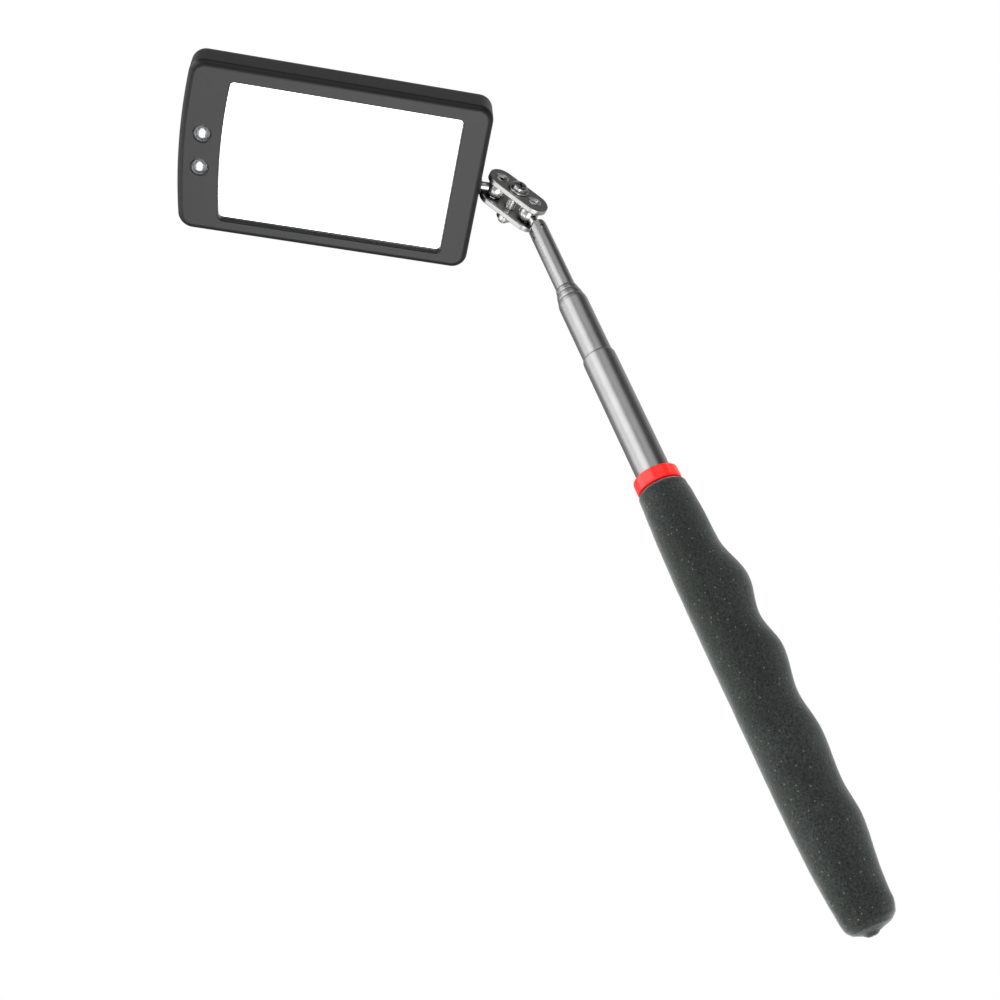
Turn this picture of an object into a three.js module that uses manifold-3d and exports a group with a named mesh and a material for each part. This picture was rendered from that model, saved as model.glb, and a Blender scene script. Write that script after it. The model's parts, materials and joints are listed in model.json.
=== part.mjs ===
// A telescoping inspection mirror. Lengths are in millimetres and angles in degrees.
// The row frame has its origin on the tip of the grip's butt, +X along the shaft towards the mirror,
// and +Z up with the tool lying down. The finger bumps of the grip point to -Y.
import * as THREE from "three";
import { mergeVertices } from "three/addons/utils/BufferGeometryUtils.js";
import Module from "manifold-3d";

const wasm = await Module();
wasm.setup();

// ---------------------------------------------------------------- driving sizes

// Five nested tubes. Each has its outer radius and the X of its two ends in the rest pose.
const TUBES = [
  { name: "outer_tube", radius: 4.75, rear: 5, front: 166.9 },
  { name: "tube_2", radius: 4.275, rear: 27.4, front: 187.4 },
  { name: "tube_3", radius: 3.8, rear: 32.2, front: 189.9 },
  { name: "tube_4", radius: 3.325, rear: 37, front: 192.1 },
  { name: "tube_5", radius: 2.85, rear: 51.5, front: 215.15 },
];
const TUBE_WALL = 0.3;
const TUBE_RUNNING_GAP = 0.06; // between a tube and the rolled-in mouth it runs through
const TUBE_FACETS = 24;
// How a mouth is rolled in: where it starts, how long its guide is, and where the bore is full again.
const MOUTH = { shoulder: 1.5, guide: 0.9, end: 1.4, rim: 0.06 };

// The rear end of each inner tube is necked down, and a split spring clip sits round the neck.
const NECK_DEPTH = 0.42;
const NECK_LENGTH = 4.2;
const NECK_LIP = 0.5;
const NECK_LIP_HEIGHT = 0.2;
const NECK_FLARE = 0.5;
const CLIP_LENGTH = 3.1;
const CLIP_GAP_DEGREES = 26;
const CLIP_CLEARANCE = 0.05;
const CLIP_NECK_CLEARANCE = 0.08;
const CLIP_END_PLAY = 0.2;

const COLLAR = { rear: 123.3, front: 128.1, radius: 6.1, rounding: 0.7 };
const PLUG = { flange: 3.2, flangeRadius: 4.6, tip: 7.9, radius: 4.35, rimGap: 0.1 };

// The foam grip: a round back and four finger bumps. Each station is [x, radius].
const GRIP_FRONT = 123.1;
const GRIP_BORE = 4.95;
const GRIP_FACETS = 16;
const GRIP_STATIONS = 20;
const GRIP_BACK = [
  [6, 6.1], [10, 6.5], [18.5, 7.1], [30, 7.5], [60, 7.6], [90, 7.6], [110, 7.35], [118, 7.05], [123.1, 6.5],
];
const GRIP_FINGERS = [
  [6, 7.95], [12.4, 8.3], [16.4, 8.8], [26.4, 9.95], [34.5, 9.35], [47.9, 10.2], [58.4, 9.05], [70.4, 10.75],
  [80.4, 8.95], [90.9, 10.65], [103.4, 7.85], [112, 7.65], [119, 7.3], [123.1, 6.7],
];
const GRIP_END = [[0.02, 0.01], [0.3, 1.5], [1, 2.15], [1.5, 3.3], [1.9, 4.6], [2.7, 5.6]];
const GRIP_BLIND_END = 3;
const FINGER_FADE = 1.4; // how fast the bumps fade towards the sides of the grip

// The forked end of the smallest tube. Its pin runs along the fork group's Z.
const FORK_ROLL = 34;
const PIN_X = 212.3;
const FORK_SLOT = { rear: 209.9, width: 1.9 };
const FORK_PLUG = { rear: 200, radius: 2.44 };
const PIN_RADIUS = 0.75;
const PIN_HALF_LENGTH = 2.85;
const PIN_CHAMFER = 0.15;
const PIN_CLEARANCE = 0.05;

// The stud between the fork and the first ball.
const STUD_TILT = 3.1;
const STUD_LENGTH = 8.1;
const TANG = { thickness: 1.7, radius: 2.1, reach: 1.6, neckStart: 3.1 };
const NECK_RADIUS = 1.35;
const BALL_RADIUS = 3;
const BALL_FACETS = 16;
const BALL_BORE_CLEARANCE = 0.07;
const NECK_IN_BALL = 1; // how far a neck runs past the middle of its ball
const BALL_BORE_DEPTH = 1.2;
const NECK_FACETS = 20;

// The double-ball clamp. Its group starts at the first ball, with X to the second ball
// and Z across the plates.
const CLAMP_YAW = 30;
const CLAMP_PITCH = -1;
const CLAMP_ROLL = 12.2;
const BALL_SPACING = 11.8;
const PLATE = { halfGap: 2.35, thickness: 1.6, radius: 4.3, overhang: 4.35, edge: 0.25 };
const SEAT = { innerRadius: 2, throatRadius: 1.35, throatDepth: 0.5, rimRadius: 2.05, rimDepth: 0.45 };
const CLAMP_SCREW = { shank: 1.45, headRadius: 2.2, headHeight: 1.25, tip: 0.6, clearance: 0.12 };
const SCREW_CROSS = { width: 0.7, reach: 1.4, depth: 0.75 };
const WASHER = { radius: 3.05, thickness: 0.45 };
const CLAMP_NUT = { radius: 2.4, thickness: 2.3, chamfer: 0.4, clearance: 0.08, facets: 16 };
const SMALL_GAP = 0.06;

// The mirror head. Its group starts at the second ball, with X away from the clamp and Z out of the mirror.
const HEAD_YAW = 33.1;
const HEAD_PITCH = 12.6;
const HEAD_ROLL = -80.5;
const HEAD = { near: 5.3, far: 91.6, halfHeight: 25.5, corner: 4.4, farRadius: 182, front: 5, back: -5 };
const HEAD_WALL = 1.6;
const FRONT_FILLET = 1.8;
const BACK_FILLET = 0.4;
const SEAM = -3.4;
const SEAM_GAP = 0.06;
const WINDOW = { near: 13.6, far: 79.6, halfHeight: 21, corner: 1.3, farRadius: 171 };
const LED = { x: 85.3, y: 5.05, hole: 2.6, radius: 2.4, flange: 2.75, base: -2.5, flangeTop: -1.6, top: 5.2 };
const BOSS_SITES = [[10, 18.5], [10, -18.5], [84.5, 17.5], [84.5, -17.5]];
const BOSS = { radius: 2.2, hole: 0.9, holeTop: 1, base: -3.3 };
const COVER_SCREW = { shank: 0.8, headRadius: 1.8, headTop: -4.12, tip: 0, chamfer: 0.3, point: 1 };
const COVER_SCREW_SEAT = { radius: 2, depth: 0.95, hole: 1.1, sunk: 0.05 };
const STEM_COLLAR = { start: 4.95, radius: 2.6 };
const STEM = { tip: 12.4, hole: 1.45, block: 12.5, blockHalf: 3.6, blockLow: -3, blockHigh: 3.6 };
const STEM_NUT = { start: 9.4, end: 11, radius: 2.4, gap: 0.15, clearance: 0.05 };

// Everything between the mirror and the rear cover.
const GLASS = { near: 13, far: 80.6, halfHeight: 22, corner: 1.5, low: 1.5, high: 3.3 };
const PAD = { inset: 1.5, low: 0, high: 1.4, corner: 1 };
const TRAY = { low: -1.5, high: -0.1, wall: 0.8, wallLow: -3.3, corner: 2 };
const TRAY_FRAME_GAP = { x: 0.9, y: 1.2 }; // from the battery bay to the outside of the tray's walls
// Openings in the tray's walls for the wires, each [low x, high x, low y, high y].
const TRAY_NOTCHES = [
  [67.4, 70.4, -5.5, -2.5],
  [67.4, 70.4, 8, 11],
  [22.6, 25.6, 3, 6.5],
];
const CELLS = [35.5, 57.5];
const CELL = { radius: 10, capRadius: 8.7, low: -3.62, high: -2, step: 0.25, rim: 0.2 };
const CONTACT_UPPER = { near: 27.5, far: 67.4, halfHeight: 5, corner: 1.5, low: -1.86, high: -1.62 };
const CONTACT_SIDE = { near: 30, far: 63.4, lowY: 10.2, highY: 10.5, low: -3.4, high: -2.1 };
const BAY = { near: 24.5, far: 68.5, halfHeight: 11.4, corner: 2 };
const DOOR = { innerHalf: 23.2, outerHalf: 22.6, start: -12.8, top: -3.96, clearance: 0.2 };
const DOOR_GROOVES = { ys: [17, 19, 21], halfLength: 6, halfWidth: 0.35, depth: 0.3 };
const BOARD = { near: 80.6, far: 89, halfHeight: 13, corner: 1, low: -3.3, high: -2.62 };
const SWITCH = { x: 18, halfWidth: 2.3, halfLength: 4.5, low: -3.35, high: -1.6, rest: -1.25, travel: 2.5 };
const KNOB = { half: 1, top: -2.4, capHalfX: 2.2, capHalfY: 1.8, capTop: -5.1, capBottom: -6 };
const KNOB_GROOVES = { ys: [-0.9, 0, 0.9], halfWidth: 0.18, depth: 0.3 };
const KNOB_CLEARANCE = { side: 0.2, end: 0.25, top: 0.15 };
const WIRE = { radius: 0.4, facets: 7, steps: 8 };
const WIRE_PATHS = {
  wire_positive: [[67.3, -4, -2.4], [70, -4.2, -2.5], [75, -5.5, -2.4], [80.2, -4, -2.9]],
  wire_negative: [[63.9, 10, -2.75], [68.5, 9.6, -2.8], [74, 10.5, -2.6], [80.2, 8, -2.9]],
  wire_switch: [[20.9, 3.6, -2.6], [22.6, 4.6, -2.4], [24.4, 4.9, -2.4], [26, 6, -2.5]],
};
const PAST = 1; // how far a cutting tool runs past the face it starts or ends on

// ---------------------------------------------------------------- materials

function material(color, roughness, metalness) {
  return new THREE.MeshStandardMaterial({ color, roughness, metalness });
}
const chromedSteel = () => material(0xa9a9a8, 0.3, 1);
const brightSteel = () => material(0xbebdbb, 0.24, 1);
const springBronze = () => material(0xb08a4a, 0.4, 1);
const blackPlastic = () => material(0x2a2b2b, 0.55, 0);
const redPlastic = () => material(0xc51a12, 0.35, 0);
const greyFoam = () => material(0x343937, 0.95, 0);
const silveredGlass = () => material(0xe8ebec, 0.03, 1);
const clearPlastic = () => material(0xeaf0f4, 0.08, 0);
const greenBoard = () => material(0x1d5a34, 0.5, 0);
const redWire = () => material(0xb02018, 0.5, 0);
const blackWire = () => material(0x1b1b1b, 0.5, 0);

// ---------------------------------------------------------------- helpers

const radians = THREE.MathUtils.degToRad;
const MERGE_DISTANCE = 1e-4;

// A closed three.js geometry as a solid. A turned profile may run either way,
// so a negative volume is flipped.
function solidOf(geometry) {
  const bare = geometry.clone();
  bare.deleteAttribute("normal");
  bare.deleteAttribute("uv");
  const merged = mergeVertices(bare, MERGE_DISTANCE);
  const corners = merged.index.array;
  const build = (flip) => {
    const triangles = [];
    for (let i = 0; i < corners.length; i += 3) {
      const [a, b, c] = corners.slice(i, i + 3);
      if (a !== b && b !== c && a !== c) triangles.push(a, flip ? c : b, flip ? b : c);
    }
    const vertProperties = merged.attributes.position.array;
    const triVerts = new Uint32Array(triangles);
    return new wasm.Manifold(new wasm.Mesh({ numProp: 3, vertProperties, triVerts }));
  };
  const made = build(false);
  return made.volume() > 0 ? made : build(true);
}

function joined(...solids) {
  return solids.reduce((whole, next) => whole.add(next));
}

function cut(solid, ...tools) {
  return tools.reduce((whole, tool) => whole.subtract(tool), solid);
}

// A named mesh from a solid.
function part(name, solid, surface) {
  const mesh = solid.getMesh();
  const geometry = new THREE.BufferGeometry();
  const positions = new Float32Array(mesh.numVert * 3);
  for (let i = 0; i < mesh.numVert; i++) {
    for (let k = 0; k < 3; k++) positions[3 * i + k] = mesh.vertProperties[mesh.numProp * i + k];
  }
  geometry.setAttribute("position", new THREE.BufferAttribute(positions, 3));
  geometry.setIndex(new THREE.BufferAttribute(new Uint32Array(mesh.triVerts), 1));
  const flat = geometry.toNonIndexed();
  flat.computeVertexNormals();
  const made = new THREE.Mesh(flat, surface);
  made.name = name;
  return made;
}

function group(name, ...children) {
  const made = new THREE.Group();
  made.name = name;
  children.forEach((child) => made.add(child));
  return made;
}

// A solid turned about X. The profile is a list of [x, radius].
function turnedAboutX(profile, facets) {
  const points = profile.map(([x, radius]) => new THREE.Vector2(radius, x));
  return solidOf(new THREE.LatheGeometry(points, facets).rotateZ(-Math.PI / 2));
}

// A solid turned about the line through (x, y) along Z. The profile is a list of [z, radius].
function turnedAboutZ(profile, facets, x = 0, y = 0) {
  const points = profile.map(([z, radius]) => new THREE.Vector2(radius, z));
  return solidOf(new THREE.LatheGeometry(points, facets).rotateX(Math.PI / 2).translate(x, y, 0));
}

function rodAlongX(radius, start, end, facets = 16) {
  return turnedAboutX([[start, 0], [start, radius], [end, radius], [end, 0]], facets);
}

function rodAlongZ(radius, low, high, x = 0, y = 0, facets = 16) {
  return turnedAboutZ([[low, 0], [low, radius], [high, radius], [high, 0]], facets, x, y);
}

function block(lowX, highX, lowY, highY, lowZ, highZ) {
  const box = new THREE.BoxGeometry(highX - lowX, highY - lowY, highZ - lowZ);
  return solidOf(box.translate((lowX + highX) / 2, (lowY + highY) / 2, (lowZ + highZ) / 2));
}

const BOSS_FACETS = 12;
const CELL_FACETS = 20;
const DOME_STEPS = 4;
const CORNER_STEPS = 3;
const SMALL_CORNER_STEPS = 2;
const BOW_STEPS = 4;
const BEVEL_STEPS = 2;
const QUARTER = Math.PI / 2;
const SAME_POINT = 0.01;

// An outline from arcs, each [centre x, centre y, radius, start angle, end angle, steps].
function outlineOf(arcs) {
  const points = [];
  for (const [x, y, radius, start, end, steps] of arcs) {
    for (let i = 0; i <= steps; i++) {
      const angle = start + ((end - start) * i) / steps;
      const point = new THREE.Vector2(x + radius * Math.cos(angle), y + radius * Math.sin(angle));
      const last = points[points.length - 1];
      if (!last || last.distanceTo(point) > SAME_POINT) points.push(point);
    }
  }
  if (points[0].distanceTo(points[points.length - 1]) < SAME_POINT) points.pop();
  return new THREE.Shape(points);
}

// A rectangle with rounded corners, from (near, -halfHeight) to (far, halfHeight).
function roundedOutline({ near, far, halfHeight, corner }) {
  const y = halfHeight - corner;
  return outlineOf([
    [near + corner, -y, corner, 2 * QUARTER, 3 * QUARTER, SMALL_CORNER_STEPS],
    [far - corner, -y, corner, 3 * QUARTER, 4 * QUARTER, SMALL_CORNER_STEPS],
    [far - corner, y, corner, 0, QUARTER, SMALL_CORNER_STEPS],
    [near + corner, y, corner, QUARTER, 2 * QUARTER, SMALL_CORNER_STEPS],
  ]);
}

// The same with its far side bowed outwards to the radius of a large circle.
function bowedOutline({ near, far, halfHeight, corner, farRadius }, inset = 0) {
  const small = corner - inset;
  const large = farRadius - inset;
  const y = halfHeight - inset - small;
  const bowCentre = far - farRadius;
  const x = bowCentre + Math.sqrt((large - small) ** 2 - y ** 2);
  const turn = Math.atan2(y, x - bowCentre);
  return outlineOf([
    [near + inset + small, -y, small, 2 * QUARTER, 3 * QUARTER, CORNER_STEPS],
    [x, -y, small, -QUARTER, -turn, CORNER_STEPS],
    [bowCentre, 0, large, -turn, turn, BOW_STEPS],
    [x, y, small, turn, QUARTER, CORNER_STEPS],
    [near + inset + small, y, small, QUARTER, 2 * QUARTER, CORNER_STEPS],
  ]);
}

// A flat solid between two heights, with rounded rims when a bevel is given.
function slab(shape, low, high, bevel = 0) {
  const geometry = new THREE.ExtrudeGeometry(shape, {
    depth: high - low - 2 * bevel,
    bevelEnabled: bevel > 0,
    bevelThickness: bevel,
    bevelSize: bevel,
    bevelOffset: -bevel,
    bevelSegments: BEVEL_STEPS,
    steps: 1,
  });
  return solidOf(geometry.translate(0, 0, low + bevel));
}

// A flat rectangle with rounded corners, from a set of sizes that also holds its two heights.
function roundedSlab(sizes) {
  return slab(roundedOutline(sizes), sizes.low, sizes.high);
}

// A prism along Y between two values of y, from an outline drawn in X and Z.
function prismAlongY(points, low, high) {
  const shape = new THREE.Shape(points.map(([x, z]) => new THREE.Vector2(x, z)));
  const geometry = new THREE.ExtrudeGeometry(shape, { depth: high - low, bevelEnabled: false });
  return solidOf(geometry.rotateX(Math.PI / 2).translate(0, high, 0));
}

function ball() {
  return solidOf(new THREE.SphereGeometry(BALL_RADIUS, BALL_FACETS, BALL_FACETS / 2));
}

// ---------------------------------------------------------------- tubes and clips

// The rolled-in mouth of a tube, down to a guide that just clears the next tube.
function mouthProfile(radius, front, guide, bore) {
  return [
    [front - MOUTH.shoulder, radius],
    [front - MOUTH.shoulder * 0.5, radius - 0.05],
    [front - MOUTH.shoulder * 0.15, radius - 0.18],
    [front, guide + MOUTH.rim],
    [front, guide],
    [front - MOUTH.guide, guide],
    [front - MOUTH.end, bore],
  ];
}

// The necked rear end of a tube, with the lip that keeps its clip on.
function neckProfile(radius, rear, bore) {
  const neck = radius - NECK_DEPTH;
  const lip = neck + NECK_LIP_HEIGHT;
  return [
    [rear + NECK_LENGTH + NECK_FLARE, bore],
    [rear + NECK_LENGTH, neck - TUBE_WALL],
    [rear, neck - TUBE_WALL],
    [rear, lip],
    [rear + NECK_LIP, lip],
    [rear + NECK_LIP, neck],
    [rear + NECK_LENGTH, neck],
    [rear + NECK_LENGTH + NECK_FLARE * 0.6, radius],
  ];
}

// One tube. The smallest has a plain front end, and the largest has a plain rear end.
function tubeSolid(index) {
  const { radius, rear, front } = TUBES[index];
  const bore = radius - TUBE_WALL;
  const next = TUBES[index + 1];
  const plainFront = [[front, radius], [front, bore]];
  const plainRear = [[rear, bore], [rear, radius]];
  const mouth = next ? mouthProfile(radius, front, next.radius + TUBE_RUNNING_GAP, bore) : plainFront;
  const rearEnd = index === 0 ? plainRear : neckProfile(radius, rear, bore);
  const profile = [...mouth, ...rearEnd];
  return turnedAboutX([...profile, profile[0]], TUBE_FACETS);
}

// A split ring round the neck of a tube, sprung against the bore of the tube outside it.
function clipSolid(index) {
  const { radius, rear } = TUBES[index];
  const inner = radius - NECK_DEPTH + CLIP_NECK_CLEARANCE;
  const outer = TUBES[index - 1].radius - TUBE_WALL - CLIP_CLEARANCE;
  const start = rear + NECK_LIP + CLIP_END_PLAY;
  const end = start + CLIP_LENGTH;
  const profile = [[start, inner], [start, outer], [end, outer], [end, inner], [start, inner]];
  const ring = turnedAboutX(profile, TUBE_FACETS);
  const halfGap = outer * Math.sin(radians(CLIP_GAP_DEGREES / 2));
  return cut(ring, block(start - PAST, end + PAST, -halfGap, halfGap, 0, outer + PAST));
}

// ---------------------------------------------------------------- handle

const HALVINGS = 24; // steps of the search for a curve's radius at a given X
const ON_AXIS = 0.5; // points nearer to the axis than this aren't drawn out to the finger bumps

function gripSolid() {
  const backRadius = new THREE.SplineCurve(GRIP_BACK.map(([x, r]) => new THREE.Vector2(x, r)));
  const fingerRadius = new THREE.SplineCurve(GRIP_FINGERS.map(([x, r]) => new THREE.Vector2(x, r)));
  const radiusAt = (curve, x) => {
    let low = 0;
    let high = 1;
    for (let i = 0; i < HALVINGS; i++) {
      const middle = (low + high) / 2;
      if (curve.getPoint(middle).x < x) low = middle;
      else high = middle;
    }
    return curve.getPoint(low).y;
  };
  const firstX = GRIP_BACK[0][0];
  const stations = GRIP_END.map(([x, radius]) => [x, radius]);
  for (let i = 0; i <= GRIP_STATIONS; i++) {
    const x = firstX + ((GRIP_FRONT - firstX) * i) / GRIP_STATIONS;
    stations.push([x, radiusAt(backRadius, x)]);
  }
  const profile = [[stations[0][0], 0], ...stations, [GRIP_FRONT, 0]];
  const geometry = new THREE.LatheGeometry(
    profile.map(([x, radius]) => new THREE.Vector2(radius, x)),
    GRIP_FACETS,
  ).rotateZ(-Math.PI / 2);

  // The side towards -Y is drawn out to the finger bumps.
  const position = geometry.attributes.position;
  for (let i = 0; i < position.count; i++) {
    const x = position.getX(i);
    const y = position.getY(i);
    const z = position.getZ(i);
    const radius = Math.hypot(y, z);
    if (radius < ON_AXIS) continue;
    const facing = Math.max(0, -y / radius) ** FINGER_FADE;
    const back = radiusAt(backRadius, Math.max(x, firstX));
    const extra = (radiusAt(fingerRadius, Math.max(x, firstX)) / back - 1) * facing;
    position.setXYZ(i, x, y * (1 + extra), z * (1 + extra));
  }
  return cut(solidOf(geometry), rodAlongX(GRIP_BORE, GRIP_BLIND_END, GRIP_FRONT + PAST, TUBE_FACETS));
}

function collarSolid() {
  const { rear, front, radius, rounding } = COLLAR;
  const bore = GRIP_BORE;
  const middle = rounding * (1 - Math.SQRT1_2);
  const profile = [
    [rear, bore],
    [rear, radius - rounding],
    [rear + middle, radius - middle],
    [rear + rounding, radius],
    [front - rounding, radius],
    [front - middle, radius - middle],
    [front, radius - rounding],
    [front, bore],
    [rear, bore],
  ];
  return turnedAboutX(profile, TUBE_FACETS);
}

function plugSolid() {
  const { flange, flangeRadius, tip, radius, rimGap } = PLUG;
  const rim = TUBES[0].rear - rimGap;
  const profile = [
    [flange, 0],
    [flange, flangeRadius],
    [rim, flangeRadius],
    [rim, radius],
    [tip, radius],
    [tip, 0],
  ];
  return turnedAboutX(profile, TUBE_FACETS);
}

const handle = group(
  "handle",
  part("outer_tube", tubeSolid(0), chromedSteel()),
  part("foam_grip", gripSolid(), greyFoam()),
  part("red_collar", collarSolid(), redPlastic()),
  part("end_plug", plugSolid(), brightSteel()),
);

// ---------------------------------------------------------------- head

// The outside of the head between its front and back faces, rounded by the given fillet.
function headBlock(fillet) {
  return slab(bowedOutline(HEAD), HEAD.back, HEAD.front, fillet);
}

function aroundHead(low, high) {
  const { near, far, halfHeight } = HEAD;
  return block(near - PAST, far + PAST, -halfHeight - PAST, halfHeight + PAST, low, high);
}

function bezelSolid() {
  const inside = HEAD.front - HEAD_WALL;
  const shell = cut(
    headBlock(FRONT_FILLET),
    aroundHead(HEAD.back - PAST, SEAM),
    slab(bowedOutline(HEAD, HEAD_WALL), SEAM - PAST, inside),
  );
  const { radius: bossRadius, hole, holeTop, base } = BOSS;
  const pillar = (size, low, high) =>
    BOSS_SITES.map(([x, y]) => rodAlongZ(size, low, high, x, y, BOSS_FACETS));
  const bosses = pillar(bossRadius, base, HEAD.front - PAST);
  const bossHoles = pillar(hole, base - PAST, holeTop);
  const { block: blockEnd, blockHalf, blockLow, blockHigh } = STEM;
  const stemBlock = block(HEAD.near + PAST, blockEnd, -blockHalf, blockHalf, blockLow, blockHigh);
  const stemCollar = rodAlongX(STEM_COLLAR.radius, STEM_COLLAR.start, HEAD.near + PAST);
  const { start, end, radius, gap } = STEM_NUT;
  const pocketHalf = radius + gap;
  const pocket = block(start - gap, end + gap, -pocketHalf, pocketHalf, blockLow - PAST, radius);
  return cut(
    joined(shell, ...bosses, stemBlock, stemCollar),
    slab(bowedOutline(WINDOW), inside - PAST, HEAD.front + PAST),
    ...bossHoles,
    rodAlongZ(LED.hole, 0, HEAD.front + PAST, LED.x, LED.y),
    rodAlongZ(LED.hole, 0, HEAD.front + PAST, LED.x, -LED.y),
    rodAlongX(STEM.hole, STEM_COLLAR.start - PAST, blockEnd + PAST),
    pocket,
  );
}

const bayMiddle = (BAY.near + BAY.far) / 2;

// The dovetailed battery door: wide inside, narrow outside, and open at the head's +Y side.
function doorPrism() {
  const { innerHalf, outerHalf, start, top } = DOOR;
  const outline = [
    [bayMiddle - outerHalf, HEAD.back],
    [bayMiddle + outerHalf, HEAD.back],
    [bayMiddle + innerHalf, top],
    [bayMiddle - innerHalf, top],
  ];
  return prismAlongY(outline, start, HEAD.halfHeight);
}

// The recess the door slides in, wider by the clearance and cut through the outside of the cover.
function doorRecess() {
  const { innerHalf, outerHalf, start, top, clearance } = DOOR;
  const inner = innerHalf + clearance;
  const outer = outerHalf + clearance;
  const outline = [
    [bayMiddle - outer, HEAD.back - PAST],
    [bayMiddle + outer, HEAD.back - PAST],
    [bayMiddle + outer, HEAD.back],
    [bayMiddle + inner, top + clearance / 2],
    [bayMiddle - inner, top + clearance / 2],
    [bayMiddle - outer, HEAD.back],
  ];
  return prismAlongY(outline, start - clearance, HEAD.halfHeight + PAST);
}

function coverSolid() {
  const plate = cut(headBlock(BACK_FILLET), aroundHead(SEAM - SEAM_GAP, HEAD.front + PAST));
  const outside = HEAD.back - PAST;
  const { radius, depth, hole } = COVER_SCREW_SEAT;
  const holes = BOSS_SITES.flatMap(([x, y]) => [
    rodAlongZ(hole, outside, SEAM, x, y, BOSS_FACETS),
    rodAlongZ(radius, outside, HEAD.back + depth, x, y),
  ]);
  const reachX = KNOB.half + KNOB_CLEARANCE.side;
  const reachY = KNOB.half + SWITCH.travel / 2 + KNOB_CLEARANCE.end;
  const switchSlot = block(SWITCH.x - reachX, SWITCH.x + reachX, -reachY, reachY, outside, SEAM);
  const bay = slab(roundedOutline(BAY), outside, SEAM);
  return cut(plate, ...holes, switchSlot, bay, doorRecess());
}

function doorSolid() {
  const { ys, halfLength, halfWidth, depth } = DOOR_GROOVES;
  const low = HEAD.back - PAST;
  const high = HEAD.back + depth;
  const grooves = ys.map((y) =>
    block(bayMiddle - halfLength, bayMiddle + halfLength, y - halfWidth, y + halfWidth, low, high),
  );
  return cut(doorPrism().intersect(headBlock(BACK_FILLET)), ...grooves);
}

function traySolid() {
  const { low, high, wall, wallLow, corner } = TRAY;
  const plate = slab(roundedOutline(GLASS), low, high);
  const outside = {
    near: BAY.near - TRAY_FRAME_GAP.x,
    far: BAY.far + TRAY_FRAME_GAP.x,
    halfHeight: BAY.halfHeight + TRAY_FRAME_GAP.y,
    corner,
  };
  const inside = {
    near: outside.near + wall,
    far: outside.far - wall,
    halfHeight: outside.halfHeight - wall,
    corner: corner - wall,
  };
  const overlap = wall / 4;
  const frame = cut(
    slab(roundedOutline(outside), wallLow, low + overlap),
    slab(roundedOutline(inside), wallLow - PAST, low),
  );
  const notches = TRAY_NOTCHES.map(([lowX, highX, lowY, highY]) =>
    block(lowX, highX, lowY, highY, wallLow - PAST, low),
  );
  return cut(joined(plate, frame), ...notches);
}

function padSolid() {
  const { inset, low, high, corner } = PAD;
  const outline = roundedOutline({
    near: GLASS.near + inset,
    far: GLASS.far - inset,
    halfHeight: GLASS.halfHeight - inset,
    corner,
  });
  return slab(outline, low, high);
}

function contactSideSolid() {
  const { near, far, lowY, highY, low, high } = CONTACT_SIDE;
  return block(near, far, lowY, highY, low, high);
}

function cellSolid(x) {
  const { radius, capRadius, low, high, step, rim } = CELL;
  const profile = [
    [low, 0],
    [low, radius - rim],
    [low + rim, radius],
    [high - step, radius],
    [high - step, capRadius],
    [high, capRadius],
    [high, 0],
  ];
  return turnedAboutZ(profile, CELL_FACETS, x);
}

function ledSolid(y) {
  const { radius, flange, base, flangeTop, top } = LED;
  const profile = [[base, 0], [base, flange], [flangeTop, flange], [flangeTop, radius]];
  for (let i = 0; i <= DOME_STEPS; i++) {
    const angle = (QUARTER * i) / DOME_STEPS;
    profile.push([top - radius + radius * Math.sin(angle), radius * Math.cos(angle)]);
  }
  return turnedAboutZ(profile, 16, LED.x, y);
}

function coverScrewSolid([x, y]) {
  const { shank, headRadius, headTop, tip, chamfer, point } = COVER_SCREW;
  const bottom = HEAD.back + COVER_SCREW_SEAT.sunk;
  const profile = [
    [bottom, 0],
    [bottom, headRadius - chamfer],
    [bottom + chamfer, headRadius],
    [headTop, headRadius],
    [headTop, shank],
    [tip - point, shank],
    [tip, 0],
  ];
  return turnedAboutZ(profile, BOSS_FACETS, x, y);
}

function switchBodySolid() {
  const { x, halfWidth, halfLength, low, high, travel } = SWITCH;
  const reachX = KNOB.half + KNOB_CLEARANCE.side;
  const reachY = KNOB.half + travel / 2 + KNOB_CLEARANCE.end;
  return cut(
    block(x - halfWidth, x + halfWidth, -halfLength, halfLength, low, high),
    block(x - reachX, x + reachX, -reachY, reachY, low - PAST, KNOB.top + KNOB_CLEARANCE.top),
  );
}

function switchKnobSolid() {
  const { half, top, capHalfX, capHalfY, capTop, capBottom } = KNOB;
  const { x, rest } = SWITCH;
  const { ys, halfWidth, depth } = KNOB_GROOVES;
  const reach = capHalfX + PAST;
  const low = capBottom - PAST;
  const high = capBottom + depth;
  const grooves = ys
    .map((y) => rest + y)
    .map((y) => block(x - reach, x + reach, y - halfWidth, y + halfWidth, low, high));
  const overlap = 0.2;
  return cut(
    joined(
      block(x - half, x + half, rest - half, rest + half, capTop - overlap, top),
      block(x - capHalfX, x + capHalfX, rest - capHalfY, rest + capHalfY, capBottom, capTop),
    ),
    ...grooves,
  );
}

function stemNutSolid() {
  const { start, end, radius, clearance } = STEM_NUT;
  const bore = rodAlongX(NECK_RADIUS + clearance, start - PAST, end + PAST);
  return cut(rodAlongX(radius, start, end, 6), bore);
}

// A wire with flat ends along a smooth curve.
function wireSolid(points) {
  const curve = new THREE.CatmullRomCurve3(points.map(([x, y, z]) => new THREE.Vector3(x, y, z)));
  const shape = outlineOf([[0, 0, WIRE.radius, 0, 2 * Math.PI, WIRE.facets]]);
  return solidOf(new THREE.ExtrudeGeometry(shape, { steps: WIRE.steps, extrudePath: curve }));
}

// A ball with the bore its neck goes into, opening towards +X.
function ballWithBore() {
  const bore = NECK_RADIUS + BALL_BORE_CLEARANCE;
  return cut(ball(), rodAlongX(bore, -BALL_BORE_DEPTH, BALL_RADIUS + PAST, NECK_FACETS));
}

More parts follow.
